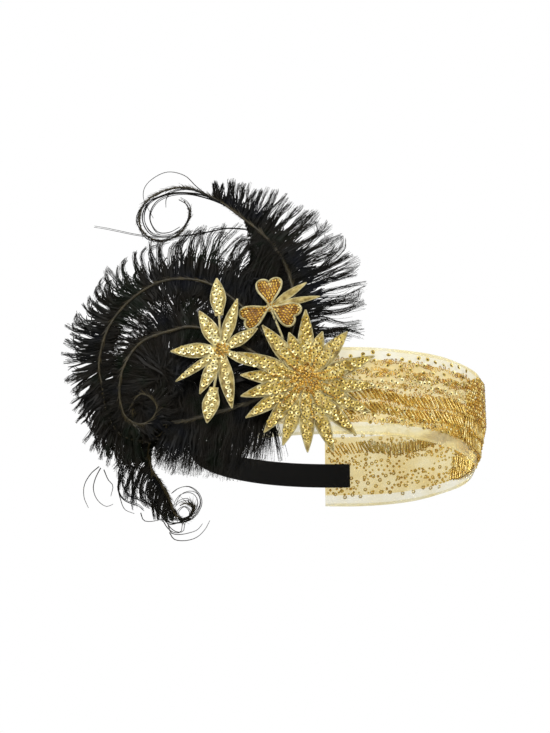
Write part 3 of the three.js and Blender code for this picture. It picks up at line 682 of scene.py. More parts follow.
def banded(name, slot, finish, angles_between, inner, wall, middle, height, outline=None):
    """A closed band along the loop with its corners eased, and its length. An outline scales its heights."""
    corner = 0.35
    angles, marks = even_angles(*angles_between, 2.2)
    shares = marks / marks[-1]
    low, high = middle - height / 2, middle + height / 2
    rise = np.linspace(low + corner, high - corner, 10)
    outer, half_way = inner + wall, inner + wall / 2
    section = [(half_way, low), *[(outer, h) for h in rise]]
    section += [(half_way, high), *[(inner, h) for h in rise[::-1]]]
    offsets, heights = np.array(section).T
    grow = np.ones(len(marks)) if outline is None else outline(shares)
    flat = loop_point(angles[:, None], offsets)
    rings = np.concatenate([flat, (middle + (heights - middle) * grow[:, None])[..., None]], -1)
    sides = len(section)
    caps = np.array([np.arange(sides)[::-1], (len(marks) - 1) * sides + np.arange(sides)])
    uv = np.stack(np.broadcast_arrays(shares[:, None], (heights - low) / height), -1)
    heap = Heap()
    heap.add(rings, [*grid_faces(len(marks), sides, closed=True), caps], finish)
    return heap.make(name, slot, uv.reshape(-1, 2)), marks[-1]


def make_elastic():
    start = loop_angle(NET_FAR_END + SEAM_OVERLAP, 1)
    end = 2 * math.pi + loop_angle(NET_NEAR_END + SEAM_OVERLAP, -1)
    inner = -NET_WALL / 2 - GAP - ELASTIC_WALL
    section = (inner, ELASTIC_WALL, -ELASTIC_DROP, ELASTIC_WIDTH)
    made, length = banded("elastic", "black_elastic", black_elastic, (start, end), *section)
    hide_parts("elastic_band")


def make_felt():
    """The felt behind the spray, rounded at both ends."""

    def outline(share):
        near_end = np.clip(1 - np.minimum(share, 1 - share) / 0.16, 0, 1)
        return 1 - 0.28 * (1 - np.sqrt(np.maximum(0, 1 - near_end**2)))

    start = loop_angle(BUNDLE_X - FELT_LENGTH / 2, -1)
    end = loop_angle(BUNDLE_X + FELT_LENGTH / 2, -1)
    section = (NET_WALL / 2 + GAP, FELT_WALL, BUNDLE_Z / 2, FELT_HEIGHT)
    made, length = banded("felt", "black_felt", black_felt, (start, end), *section, outline)
    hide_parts("felt_patch")


# The plumes. Each way is points right of and above the bundle. Each row of barbs is a share of the way, then
# the length, lean and curl of the outer barbs and of the inner ones. Lengths are shares of the plume's size.
# A lean is in degrees from the way ahead, and a curl in degrees over the barb's length, towards the tip.
# The down is as long as these shares of the barbs: the outer ones early on and later on, and the inner ones.
# Pitch is the distance between clumps at first and later on, and bunch is how many barbs grow in each.

PLUMES = {
    "crest_plume": {
        "size": 130,
        "layer": BACK_LAYER,
        "fan": -0.12,
        "fan_start": 20,
        "way": [
            (0, 0.03), (0.04, 0.18), (0.07, 0.35), (0.05, 0.52), (0, 0.67), (-0.08, 0.8), (-0.18, 0.91),
            (-0.29, 1.02), (-0.41, 1.11), (-0.5, 1.15), (-0.61, 1.14), (-0.69, 1.09), (-0.72, 1),
            (-0.7, 0.92), (-0.64, 0.86), (-0.56, 0.85), (-0.49, 0.9), (-0.46, 0.99), (-0.49, 1.07),
        ],
        "barbs": [
            (0.03, 0.19, 62, 4, 0.28, 55, 10), (0.11, 0.35, 74, 4, 0.32, 70, 10),
            (0.22, 0.35, 73, 4, 0.34, 90, 10), (0.3, 0.3, 75, 0, 0.29, 105, 10),
            (0.36, 0.25, 76, 0, 0.19, 112, 10), (0.4, 0.23, 70, 0, 0.07, 112, 10),
            (0.44, 0.2, 62, 0, 0, 110, 0), (0.5, 0.16, 50, 0, 0, 90, 0), (0.54, 0.1, 46, 0, 0, 90, 0),
        ],
        "pitch": (2.2, 1.4),
        "bunch": 15,
        "hooked": 0.08,
        "gather": 0.6,
        "down": (0.45, 0.45, 1.0),
    },
    "arc_plume": {
        "size": 120,
        "layer": MIDDLE_LAYER,
        "fan": 0,
        "fan_start": 20,
        "way": [
            (0, 0.03), (-0.12, 0.3), (-0.24, 0.45), (-0.41, 0.58), (-0.61, 0.61), (-0.77, 0.54),
            (-0.91, 0.38), (-0.96, 0.16), (-0.94, 0.04), (-0.91, -0.11), (-0.84, -0.24), (-0.73, -0.29),
            (-0.63, -0.27), (-0.59, -0.21), (-0.61, -0.14),
        ],
        "barbs": [
            (0.03, 0.15, 40, 0, 0.12, 75, 0), (0.11, 0.42, 34, 0, 0.16, 80, 0),
            (0.2, 0.44, 54, -40, 0.26, 75, 15), (0.29, 0.38, 64, -25, 0.27, 85, 15),
            (0.34, 0.34, 74, -20, 0.29, 95, 5), (0.38, 0.28, 84, -25, 0.29, 98, 0),
            (0.45, 0.26, 66, -60, 0.28, 98, 0), (0.54, 0.24, 72, -50, 0.2, 98, 0),
            (0.62, 0.21, 76, -35, 0.17, 95, 10), (0.68, 0.2, 64, 0, 0.26, 95, 10),
            (0.75, 0.19, 52, 10, 0.31, 90, 10), (0.81, 0.19, 52, 15, 0.26, 80, 10),
            (0.86, 0.2, 66, 20, 0.1, 80, 10), (0.89, 0.15, 80, 20, 0, 80, 10),
        ],
        "pitch": (3.0, 1.3),
        "bunch": 16,
        "hooked": 0.6,
        "down": (0.5, 0.8, 0.42),
        "gather": 0.7,
    },
    "curl_plume": {
        "size": 100,
        "layer": FRONT_LAYER,
        "fan": 0.06,
        "fan_start": 45,
        "way": [
            (0, 0.04), (-0.3, 0.25), (-0.55, 0.37), (-0.67, 0.36), (-0.88, 0.29), (-0.98, 0.15),
            (-1.01, 0.01), (-1, -0.11), (-0.96, -0.21), (-0.88, -0.26), (-0.81, -0.24), (-0.77, -0.16),
            (-0.81, -0.09), (-0.87, -0.06), (-0.92, -0.11), (-0.91, -0.17), (-0.87, -0.19),
        ],
        "barbs": [
            (0.03, 0.1, 75, 10, 0.3, 60, 10), (0.13, 0.2, 75, 10, 0.36, 60, 10),
            (0.3, 0.27, 75, 10, 0.38, 76, 10), (0.38, 0.2, 75, 10, 0.38, 80, 5),
            (0.45, 0.1, 75, 10, 0.42, 84, 0), (0.56, 0.12, 75, 10, 0.4, 92, 0),
            (0.62, 0.13, 75, 10, 0.34, 100, 0), (0.68, 0.13, 75, 15, 0.16, 100, 0),
            (0.78, 0.14, 80, 20, 0.12, 95, 20), (0.84, 0.18, 85, 20, 0.13, 85, 30),
            (0.9, 0.18, 85, 20, 0.11, 82, 30), (0.97, 0.05, 85, 20, 0.08, 80, 30),
        ],
        "pitch": (2.2, 2.0),
        "bunch": 18,
        "hooked": 0.1,
        "down": (0.52, 0.6, 1.0),
    },
    "droop_plume": {
        "size": 100,
        "layer": BACK_LAYER,
        "fan": -0.05,
        "fan_start": 20,
        "way": [
            (0, -0.04), (-0.32, -0.05), (-0.57, -0.1), (-0.75, -0.22), (-0.82, -0.36), (-0.8, -0.52),
            (-0.75, -0.6), (-0.7, -0.69), (-0.67, -0.77), (-0.64, -0.83), (-0.6, -0.86), (-0.56, -0.84),
            (-0.54, -0.79), (-0.58, -0.76), (-0.62, -0.77),
        ],
        "barbs": [
            (0.12, 0.3, 60, 10, 0.2, 70, 0), (0.3, 0.34, 62, 10, 0.26, 75, 0),
            (0.42, 0.3, 54, 15, 0.22, 70, 10), (0.5, 0.3, 52, 35, 0.1, 60, 20),
            (0.56, 0.34, 54, 60, 0.03, 60, 0), (0.65, 0.29, 58, 80, 0, 60, 0),
            (0.76, 0.17, 55, 60, 0, 60, 0), (0.85, 0.05, 40, 30, 0.02, 60, 0),
        ],
        "pitch": (2.2, 1.8),
        "bunch": 18,
        "hooked": 0.3,
        "down": (0.6, 0.2, 1.0),
        "gather": 0.55,
        "sheath": [(300, 0.5, 0.8, 0.03, 0.14, (3, 6), 0.5, quill_brown)],
    },
    "down_tuft": {
        "size": 60,
        "layer": MIDDLE_LAYER,
        "fan": 0,
        "fan_start": 20,
        "way": [
            (0, -0.07), (-0.2, -0.22), (-0.42, -0.29), (-0.68, -0.35), (-0.94, -0.4), (-1.2, -0.42),
        ],
        "barbs": [
            (0.08, 0.2, 60, 15, 0.7, 52, 0), (0.3, 0.44, 80, 15, 0.76, 62, 0),
            (0.6, 0.56, 90, 15, 0.62, 72, 0), (0.85, 0.5, 100, 10, 0.52, 72, 0),
            (1, 0.4, 105, 10, 0.4, 68, 0),
        ],
        "pitch": (0.9, 1.0),
        "bunch": 20,
        "hooked": 0.1,
        "down": (0.8, 0.8, 0.8),
        "gather": 0.3,
        "thickness": 0.68,
    },
}
BARB_STEPS = 9
# Short hairs along each quill: how many, between which shares of it, between which angles off it, between
# which lengths, how wide, and what they are made of.
FUZZ = [
    (900, 0.02, 0.97, 0.4, 1.0, (1.2, 3.2), 0.3, black_feather),
    (700, 0.02, 0.97, 0.08, 0.3, (3, 8), 0.42, quill_brown),
]
# Where the plumes stay under the flowers and over the felt, as x from, z from and z to.
UNDER_FLOWERS = (-108, -45, 78)
OVER_FELT = (-63, -30, 30)


def fanned_depth(plume, flat):
    """The depth of a plume at points of x and z, which changes with the distance from the bundle."""
    gone = np.hypot(flat[..., 0] - BUNDLE_X, flat[..., 1] - BUNDLE_Z)
    return plume["layer"] + plume["fan"] * np.maximum(0, gone - plume["fan_start"])


def within(flat, box):
    first, low, high = box
    return (flat[..., 0] > first) & (flat[..., 1] > low) & (flat[..., 1] < high)


def barbs(plume, line, turn, outer, pitch, bunch, gather, depth_shift=0.0, share=(1, 1)):
    """Middle lines of the barbs on one side of a quill, as x, z and depth. They grow in clumps, whose tips
    draw together, wind round each other and curl."""
    length = np.linalg.norm(np.diff(line, axis=0), axis=1).sum()
    table = np.array(plume["barbs"], float)
    sign = -1 if outer else 1
    first, last = table[0, 0] * length, table[-1, 0] * length
    most = int(2.2 * (last - first) / min(pitch))
    gaps = rng.uniform(0.55, 1.45, most) * np.interp(np.arange(most), [0, most / 2], pitch)
    at = (first + np.cumsum(gaps)) / length
    column = 1 if outer else 4
    long, lean, bow = (np.interp(at, table[:, 0], table[:, column + i]) for i in range(3))
    long = long * plume["size"]
    keep = (at < table[-1, 0]) & (long > 1.5)
    gaps, at, long = gaps[keep], at[keep], long[keep]
    lean, bow = np.radians(lean[keep]), np.radians(bow[keep])
    count = len(at)

    spread = np.linspace(-0.62, 0.62, bunch) * gaps[:, None] / length
    roots = at[:, None] + spread + rng.normal(0, 0.3, (count, bunch)) / length
    roots = np.clip(roots, 0, 1)
    marks = np.linspace(0, 1, len(line))
    reach = np.interp(at, (0.4, 0.6), share) * long * rng.uniform(0.93, 1.12, count)
    reach = reach[:, None] * (1.04 - 0.3 * rng.random((count, bunch)) ** 2)

    u = np.linspace(0, 1, BARB_STEPS)
    bow = bow * rng.uniform(0.7, 1.3, count) + rng.normal(0, 0.1, count)
    hooked = rng.random(count) < plume.get("hooked", 0.35)
    hook = np.where(hooked, rng.uniform(0.5, 2.0, count), 0) * np.where(bow < -0.15, -1, 1)
    bow = bow[:, None] + rng.normal(0, 0.08, (count, bunch))
    start = np.interp(roots, marks, turn) + sign * (lean[:, None] + rng.normal(0, 0.05, (count, bunch)))
    start += rng.normal(0, 0.06, count)[:, None]
    bend = bow[..., None] * u**1.3 + hook[:, None, None] * ease(0.62, 1.0, u)
    wave = rng.normal(0, 0.2, count)[:, None] * np.sin(7.5 * u + rng.uniform(0, 2 * math.pi, count)[:, None])
    bend += wave[:, None]
    heading = start[..., None] - sign * bend
    step = reach[..., None] / (BARB_STEPS - 1)
    run = np.stack([np.cos(heading), np.sin(heading)], -1) * step[..., None]
    flat = np.concatenate([np.zeros((count, bunch, 1, 2)), np.cumsum(run[:, :, :-1], axis=2)], axis=2)
    flat += np.stack([np.interp(roots, marks, line[:, i]) for i in range(2)], -1)[:, :, None]

    middle = flat.mean(axis=1, keepdims=True)
    pull = gather * rng.uniform(0.8, 1.0, (count, 1, 1, 1))
    flat += (middle - flat) * pull * ease(0.15, 0.75, u)[:, None]
    wind = rng.uniform(0, 2 * math.pi, (count, bunch))[..., None]
    wind = wind + rng.choice([-9, 9], count)[:, None, None] * u
    loose = plume.get("loose", 0.45) * ease(0.2, 0.7, u) * (bunch > 1)
    across = np.stack([-np.sin(heading), np.cos(heading)], -1)
    flat += across * (loose * np.cos(wind))[..., None]

    depth = fanned_depth(plume, flat) + depth_shift
    lift = rng.normal(-1.0, 2.2, count)[:, None, None] * u**1.5
    depth = depth + lift + loose * np.sin(wind) + rng.normal(0, 0.4, (count, bunch))[..., None] * u
    depth = np.where(within(flat, UNDER_FLOWERS), np.minimum(depth, STACK_TOP - 0.8), depth)
    depth = np.where(within(flat, OVER_FELT), np.maximum(depth, FELT_WALL + 2 * GAP), depth)
    return np.concatenate([flat, depth[..., None]], -1).reshape(-1, BARB_STEPS, 3)


def barbules(paths, each, long=0.75, wide=0.16):
    """Short spikes that stand off both sides of the barbs, as single triangles."""
    count, steps = paths.shape[:2]
    at = rng.uniform(0.15, 1.0, (count, each)) * (steps - 1)
    low = np.minimum(at.astype(int), steps - 2)
    share = (at - low)[..., None]
    rows = np.arange(count)[:, None]
    here = paths[rows, low] * (1 - share) + paths[rows, low + 1] * share
    way = unit(paths[rows, low + 1] - paths[rows, low])
    side = np.stack([-way[..., 1], way[..., 0], np.zeros_like(way[..., 0])], -1)
    side *= rng.choice([-1, 1], (count, each))[..., None]
    off = rng.uniform(0.5, 1.1, (count, each))[..., None]
    reach = long * rng.uniform(0.5, 1.2, (count, each))[..., None]
    tip = here + reach * (np.cos(off) * way + np.sin(off) * side)
    tip[..., 2] += rng.normal(0, 0.35, (count, each))
    points = np.stack([here - way * wide, here + way * wide, tip], 2)
    return points.reshape(-1, 3), [np.arange(count * each * 3).reshape(-1, 3)]


def add_hairs(heap, quill, turn, count, first, last, near, far, reach, wide, finish):
    """Short hairs along a quill, which is points of x, z and depth with its turn at each."""
    marks = np.linspace(0, 1, len(quill))
    at = rng.uniform(first, last, count)
    root = np.column_stack([np.interp(at, marks, values) for values in quill.T])
    off = rng.uniform(0, 2 * math.pi, count)
    ahead = np.interp(at, marks, turn) + rng.choice([-1, 1], count) * rng.uniform(near, far, count)
    tip = np.column_stack([np.cos(ahead), np.sin(ahead), 0.25 * np.sin(off)])
    tip *= rng.uniform(*reach, count)[:, None]
    paths = root[:, None] + tip[:, None] * np.linspace(0, 1, 3)[:, None]
    widths = np.tile(wide * np.array([1, 0.7, 0.2]), (count, 1))
    heap.add(*ribbons(on_spray(paths), widths, 0.5 * np.sin(off)), finish)


def make_plume(node_name, plume):
    """A quill with down, barbs, barbules and hairs."""
    size = plume["size"]
    line = even_path([(BUNDLE_X + right * size, BUNDLE_Z + up * size) for right, up in plume["way"]], 1.0)
    run = np.gradient(line, axis=0)
    turn = np.unwrap(np.arctan2(run[:, 1], run[:, 0]))
    u = np.linspace(0, 1, BARB_STEPS)
    early, late, inner = plume["down"]
    heap = Heap()
    for outer, share in ((True, (early, late)), (False, (inner, inner))):
        down = barbs(plume, line, turn, outer, (0.7, 0.7), 1, 0, -0.5, share)
        widths = rng.uniform(1.3, 2.1, (len(down), 1)) * (1 - 0.75 * u**2)
        heap.add(*ribbons(on_spray(down), widths, rng.normal(0, 0.3, len(down))), black_feather)
        paths = barbs(plume, line, turn, outer, plume["pitch"], plume["bunch"], plume.get("gather", 0.8))
        thickness = 0.46 * plume.get("thickness", 1.0) * rng.uniform(0.75, 1.25, (len(paths), 1))
        widths = thickness * (1 - 0.62 * u)
        heap.add(*ribbons(on_spray(paths), widths, rng.normal(0, 0.7, len(paths))), black_feather)
        points, faces = barbules(paths, plume.get("barbules", 12))
        heap.add(on_spray(points), faces, black_feather)
    quill = np.column_stack([line, fanned_depth(plume, line)])
    heap.add(*tubes(on_spray(quill)[None], 1.2 - 0.85 * np.linspace(0, 1, len(line)), 8), quill_brown)
    for row in [*FUZZ, *plume.get("sheath", ())]:
        add_hairs(heap, quill, turn, *row)
    made = heap.make(node_name.replace("plume", "feather").replace("tuft", "feather"), "black_feather")
    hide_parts(node_name)


# Bare strands that have lost their barbs, as points of x and z on a depth, with how many run together.

STRANDS = [
    (1.5, 1, [
        (-83, 141), (-91, 149), (-99, 158), (-110, 162), (-119, 159), (-125, 153), (-126, 145), (-119, 129),
    ]),
    (-3.0, 4, [
        (-76, 138), (-86, 144), (-97, 147), (-108, 148), (-117, 146), (-123, 142), (-126, 134), (-124, 125),
        (-119, 119), (-110, 117), (-103, 119), (-97, 125), (-95, 133), (-97, 139), (-102, 143),
    ]),
    (-4.0, 3, [
        (-73, 136), (-84, 142), (-98, 147), (-110, 147), (-118, 143), (-122, 135), (-121, 127), (-116, 120),
        (-109, 119), (-102, 122),
    ]),
    (-6.0, 2, [
        (-83, 145), (-94, 152), (-104, 153), (-114, 150), (-123, 147), (-129, 141), (-131, 134), (-128, 126),
        (-124, 120), (-115, 117), (-107, 118), (-97, 118), (-86, 120),
    ]),
    (0.5, 2, [
        (-58, 115), (-70, 117), (-80, 116), (-93, 115), (-107, 115), (-118, 116), (-130, 119), (-142, 123),
        (-151, 126), (-158, 128),
    ]),
    (-3.0, 1, [(-109, 148), (-111, 144), (-111, 137)]),
    (0.0, 2, [
        (-109, -73), (-105, -79), (-97, -80), (-90, -78), (-85, -71), (-85, -66), (-88, -61), (-93, -58),
        (-99, -59), (-103, -62),
    ]),
    (0.6, 2, [
        (-108, -76), (-103, -81), (-97, -80), (-90, -76), (-86, -70), (-87, -64), (-91, -61), (-97, -62),
        (-100, -66), (-101, -70),
    ]),
    (1.0, 2, [(-103, -78), (-97, -79), (-91, -77), (-90, -71), (-93, -67), (-98, -68), (-101, -71)]),
    (0.5, 2, [
        (-99, -77), (-95, -78), (-92, -75), (-93, -72), (-96, -70), (-99, -72), (-100, -74), (-98, -77),
    ]),
    (0.0, 1, [(-105, -81), (-103, -86), (-98, -87), (-92, -86), (-87, -84), (-84, -80)]),
    (0.4, 2, [(-107, -79), (-104, -84), (-100, -87), (-96, -87), (-95, -82), (-93, -79)]),
    (0.0, 1, [(-104, -86), (-101, -91), (-94, -93), (-87, -92), (-82, -88), (-79, -83)]),
    (4.0, 1, [(-149, -41), (-154, -45), (-158, -52), (-158, -60), (-155, -67)]),
    (4.0, 1, [(-148, -42), (-151, -49), (-152, -56), (-149, -64), (-143, -69), (-139, -68)]),
    (4.0, 1, [(-137, -55), (-135, -63), (-132, -70), (-126, -73)]),
    (3.0, 1, [(-122, -73), (-120, -78), (-115, -79), (-109, -78)]),
    (3.0, 3, [(-136, -47), (-137, -57), (-134, -63), (-129, -66), (-124, -68), (-121, -71)]),
    (3.0, 3, [(-134, -44), (-133, -55), (-129, -61), (-123, -64), (-118, -67)]),
    (3.0, 3, [(-131, -42), (-128, -52), (-123, -58), (-118, -62), (-113, -66)]),
    (3.0, 1, [(-146, -43), (-143, -50), (-140, -54), (-141, -61)]),
]

def make_strands():
    heap = Heap()
    for depth, together, points in STRANDS:
        for _ in range(together):
            shift = rng.normal(0, 0.6 if together > 1 else 0, 2)
            path = even_path(np.array(points, float) + shift, 2.0)
            level = depth + np.linspace(0, rng.normal(0, 2.5), len(path))
            line = on_spray(np.column_stack([path, level]))[None]
            heap.add(*tubes(line, np.linspace(0.34, 0.16, len(path)), 4), black_feather)
    heap.make("loose_strands", "black_feather")


# The flowers, in x, z and depth like the plumes.

STAR_X = -20.6
STAR_Z = 2.6
STAR_RADIUS = 44.0
STAR_BOSS = 10.0
STAR_SEAT_GAP = 0.4
PETAL_HALF_WIDTH = 5.2
PETAL_RIDGE = 1.7
PETAL_EDGE = 0.8
PETAL_LIFT = 0.25
INNER_PETAL_LIFT = 0.9
BOSS_RISE = 1.0
HEART_THICKNESS = 1.6
SEQUIN = sequin_mesh(1.7, 0.5)
SEQUIN_PITCH = 2.9


def star_seat(x, z):
    """The star flower lies on the net to its right and climbs over the quills to its left."""
    turn = math.radians(20)
    across = -(x - STAR_X) * math.cos(turn) + (z - STAR_Z) * math.sin(turn)
    climb = ease(-0.55 * STAR_RADIUS, 0.15 * STAR_RADIUS, across)
    return STAR_SEAT_GAP + (STACK_TOP - STAR_SEAT_GAP) * climb


def petal_width(u):
    """Share of a petal's half width at a share of its length."""
    swell = 0.45 + 0.55 * ease(0, 0.45, u)
    taper = 1 - np.clip((u - 0.45) / 0.55, 0, 1) ** 1.7
    return swell * taper + 0.04


class Flower(Heap):
    """A flower round its centre. The seat gives the depth under it at an x and a z."""

    def __init__(self, x, z, seat):
        super().__init__()
        self.centre = np.array([x, z])
        self.seat = seat

    def around(self, away, about):
        """Spots at distances and angles from the centre, as x and z."""
        return self.centre + np.stack([away * np.cos(about), away * np.sin(about)], -1)

    def lifted(self, spots, height):
        """Points at a height over the seat."""
        level = np.broadcast_to(self.seat(spots[..., 0], spots[..., 1]) + height, spots.shape[:-1])
        return on_spray(np.concatenate([spots, level[..., None]], -1))

    def places(self, spots, height, along, tilt=0.0):
        """Matrices for things that lie on the flower, facing out of its surface."""
        here = self.lifted(spots, height)
        right, up = (self.lifted(spots + step, height) - here for step in ([0.5, 0], [0, 0.5]))
        way = unit(right * np.cos(along)[:, None] + up * np.sin(along)[:, None])
        return frames(here, unit(np.cross(right, up)) + way * np.reshape(tilt, (-1, 1)), way)

    def petal(self, angle, start, end, half, lift=0.0, columns=2, sequins=gold_sequin):
        """An embroidered leaf with a raised middle, a cord round its edge, and columns of sequins."""
        turn = math.radians(angle)
        ahead = np.array([math.cos(turn), math.sin(turn)])
        left = np.array([-math.sin(turn), math.cos(turn)])
        length = end - start

        def flat(share, side):
            across = side * half * petal_width(share)
            return self.centre + (start + length * share)[..., None] * ahead + across[..., None] * left

        def crown(share, side):
            return lift + PETAL_EDGE + (PETAL_RIDGE - PETAL_EDGE) * petal_width(share) * (1 - side**2)

        share, side = np.meshgrid(np.linspace(0, 1, 14), np.linspace(-1, 1, 7), indexing="ij")
        top = flat(share, side)
        ring = np.concatenate([self.lifted(top, crown(share, side)), self.lifted(top[:, [-1, 0]], 0)], 1)
        # The petal's ground is gold thread, with painted shade in dark brown patches.
        self.add(ring, grid_faces(*ring.shape[:2], closed=True), gold_stitches_and_painted_shade)
        edge = np.concatenate([top[:, 0], top[::-1, -1]])
        self.add(*tubes(self.lifted(edge, lift + PETAL_EDGE)[None], 0.36, 5), khaki_cord)
        if columns == 0:
            return

        rows = []
        for row, share in enumerate(np.arange(0.1 * length, 0.88 * length, SEQUIN_PITCH) / length):
            wide = 2 * half * petal_width(share)
            count = int(np.clip(round((wide - 0.8) / SEQUIN_PITCH), 1, columns))
            sides = (np.arange(count) - (count - 1) / 2) * 1.3 / count
            shift = 0.5 * SEQUIN_PITCH / length * (np.arange(count) % 2)
            rows.append(np.column_stack([share + shift, sides + 0.12 * (-1) ** row]))
        share, side = np.concatenate(rows).T
        side = side + rng.normal(0, 0.03, len(side))
        spots = flat(share, side) + rng.normal(0, 0.08, (len(share), 2))
        along = turn + rng.normal(0, 0.25, len(share))
        tilt = rng.normal(-0.14, 0.1, len(share))
        places = self.places(spots, crown(share, side) + 0.3, along, tilt)
        places[:, :3, :3] *= rng.uniform(0.84, 1.04, len(share))[:, None, None]
        self.add(*copies(*SEQUIN, places), sequins)
        # Dark discs under the sequins' holes are painted shade.
        self.add(*copies(*HOLE_SHADE_DISC, places), painted_hole_shade)

    def boss(self, height, radius, beads, size):
        """A low dome with beads heaped over it."""
        sides = 20
        away, up = (1, 0.95, 0.8, 0.55, 0.25, 0.02), (0, 0.35, 0.62, 0.85, 0.97, 1)
        rows = [self.lifted(self.around(radius * a, circle(sides)), height * b) for a, b in zip(away, up)]
        # The dome is gold thread, with painted shade in dark brown patches.
        self.add(rows, grid_faces(len(rows), sides, closed=True), gold_stitches_and_painted_shade)
        spot = np.arange(beads) + 0.5
        share = np.sqrt(spot / beads)
        about = spot * 2.39996 + rng.normal(0, 0.1, beads)
        high = height * np.interp(share, away[::-1], up[::-1]) + 0.5 * size
        places = self.places(self.around(radius * share, about), high, about, rng.normal(0, 0.3, beads))
        self.add(*copies(*bead_mesh(size, 1.0, 4, 8), places), amber_bead)

    def stem(self, angle, end):
        spots = self.around(np.linspace(0, end, 8), math.radians(angle))
        self.add(*tubes(self.lifted(spots, PETAL_EDGE / 2)[None], 0.8, 6), khaki_cord)


def make_star():
    """Two rings of petals, a beaded boss and rows of beads that run out from it."""
    outer = [
        (0, 0.98), (25, 1.07), (53, 0.98), (72, 0.76), (90, 1.06), (108, 0.76), (125, 1.07), (153, 1.08),
        (171, 0.93), (191, 0.93), (211, 0.98), (232, 0.95), (251, 1), (271, 1.01), (291, 1.06), (313, 1.02),
        (336, 0.97),
    ]
    star = Flower(STAR_X, STAR_Z, star_seat)
    start = STAR_BOSS / 2
    for i, (angle, reach) in enumerate(outer):
        star.petal(angle, start, reach * STAR_RADIUS, 4.7, PETAL_LIFT * (i % 2))
    for i in range(10):
        lift = INNER_PETAL_LIFT + PETAL_LIFT * (i % 2)
        star.petal(360 * (i + 0.5) / 10, start, 0.62 * STAR_RADIUS, 3.8, lift)
    star.boss(INNER_PETAL_LIFT + PETAL_RIDGE + BOSS_RISE, STAR_BOSS, 95, 0.85)
    for i in range(20):
        away = np.arange(0.8 * STAR_BOSS, rng.uniform(1.6, 2.5) * STAR_BOSS, 1.75)
        about = math.radians(360 * (i + 0.5) / 20) + rng.normal(0, 0.03, len(away))
        high = INNER_PETAL_LIFT + PETAL_RIDGE + rng.uniform(0.2, 0.7, len(away))
        places = star.places(star.around(away, about), high, about)
        star.add(*copies(*bead_mesh(0.72, 1.1, 3, 7), places), (amber_bead, amber_bead, gold_bead)[i % 3])
    made = star.make("star_blossom", "gold_sequins")
    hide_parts("star_flower")


def make_daisy():
    """Eight petals of different widths, and two leaves on stems."""
    radius = 32.0
    boss_radius = 5.0
    daisy = Flower(-73.0, 26.0, lambda x, z: STACK_TOP + PETAL_RIDGE + 2 * GAP)
    petals = [
        (29, 0.8, 0.75, 2), (74, 1.1, 0.72, 1), (117, 0.98, 0.9, 2), (176, 1, 0.9, 2), (213, 1.06, 0.5, 1),
        (245, 0.97, 0.8, 2), (280, 1.25, 0.8, 1), (330, 0.88, 0.5, 1),
    ]
    for i, (angle, reach, width, columns) in enumerate(petals):
        half, lift = width * PETAL_HALF_WIDTH, PETAL_LIFT * (i % 2)
        daisy.petal(angle, boss_radius / 3, reach * radius, half, lift, columns, pale_sequin)
    for angle, first, reach, width in ((94, 0.74, 1.55, 0.9), (260, 0.78, 1.51, 0.95)):
        half = width * PETAL_HALF_WIDTH
        daisy.petal(angle, first * radius, reach * radius, half, sequins=pale_sequin)
        daisy.stem(angle, (first + 0.1) * radius)
    daisy.boss(PETAL_RIDGE + BOSS_RISE, boss_radius, 22, 0.8)
    made = daisy.make("daisy_blossom", "gold_sequins")
    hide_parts("daisy_flower")


def bezier(start, *curves):
    """Points along joined cubic curves, each given by two handles and an end."""
    t = np.linspace(0, 1, 9)[1:, None]
    points = [np.array([start])]
    for a, b, c in curves:
        first, a, b, c = points[-1][-1], *(np.array(p) for p in (a, b, c))
        points.append((1 - t) ** 3 * first + 3 * (1 - t) ** 2 * t * a + 3 * (1 - t) * t**2 * b + t**3 * c)
    return np.vstack(points)


def heart_beads(radius):
    """Rows of beads across a heart that points along the first axis, as distances along and across it."""
    rows = []
    for out in np.arange(0.2, 0.96, 0.1):
        half = np.interp(out, [0.1, 0.3, 0.5, 0.7, 0.85, 0.96], [0.02, 0.09, 0.21, 0.33, 0.35, 0.27])
        count = 1 + int(2 * half * radius / 1.6)
        side = np.linspace(-half, half, count) if count > 1 else np.zeros(1)
        side = side[(np.abs(side) > 0.09) | (out < 0.84)]
        rows.append(np.column_stack([np.full(len(side), out), side]))
    spots = np.concatenate(rows) * radius
    return spots + rng.normal(0, 0.12, spots.shape)


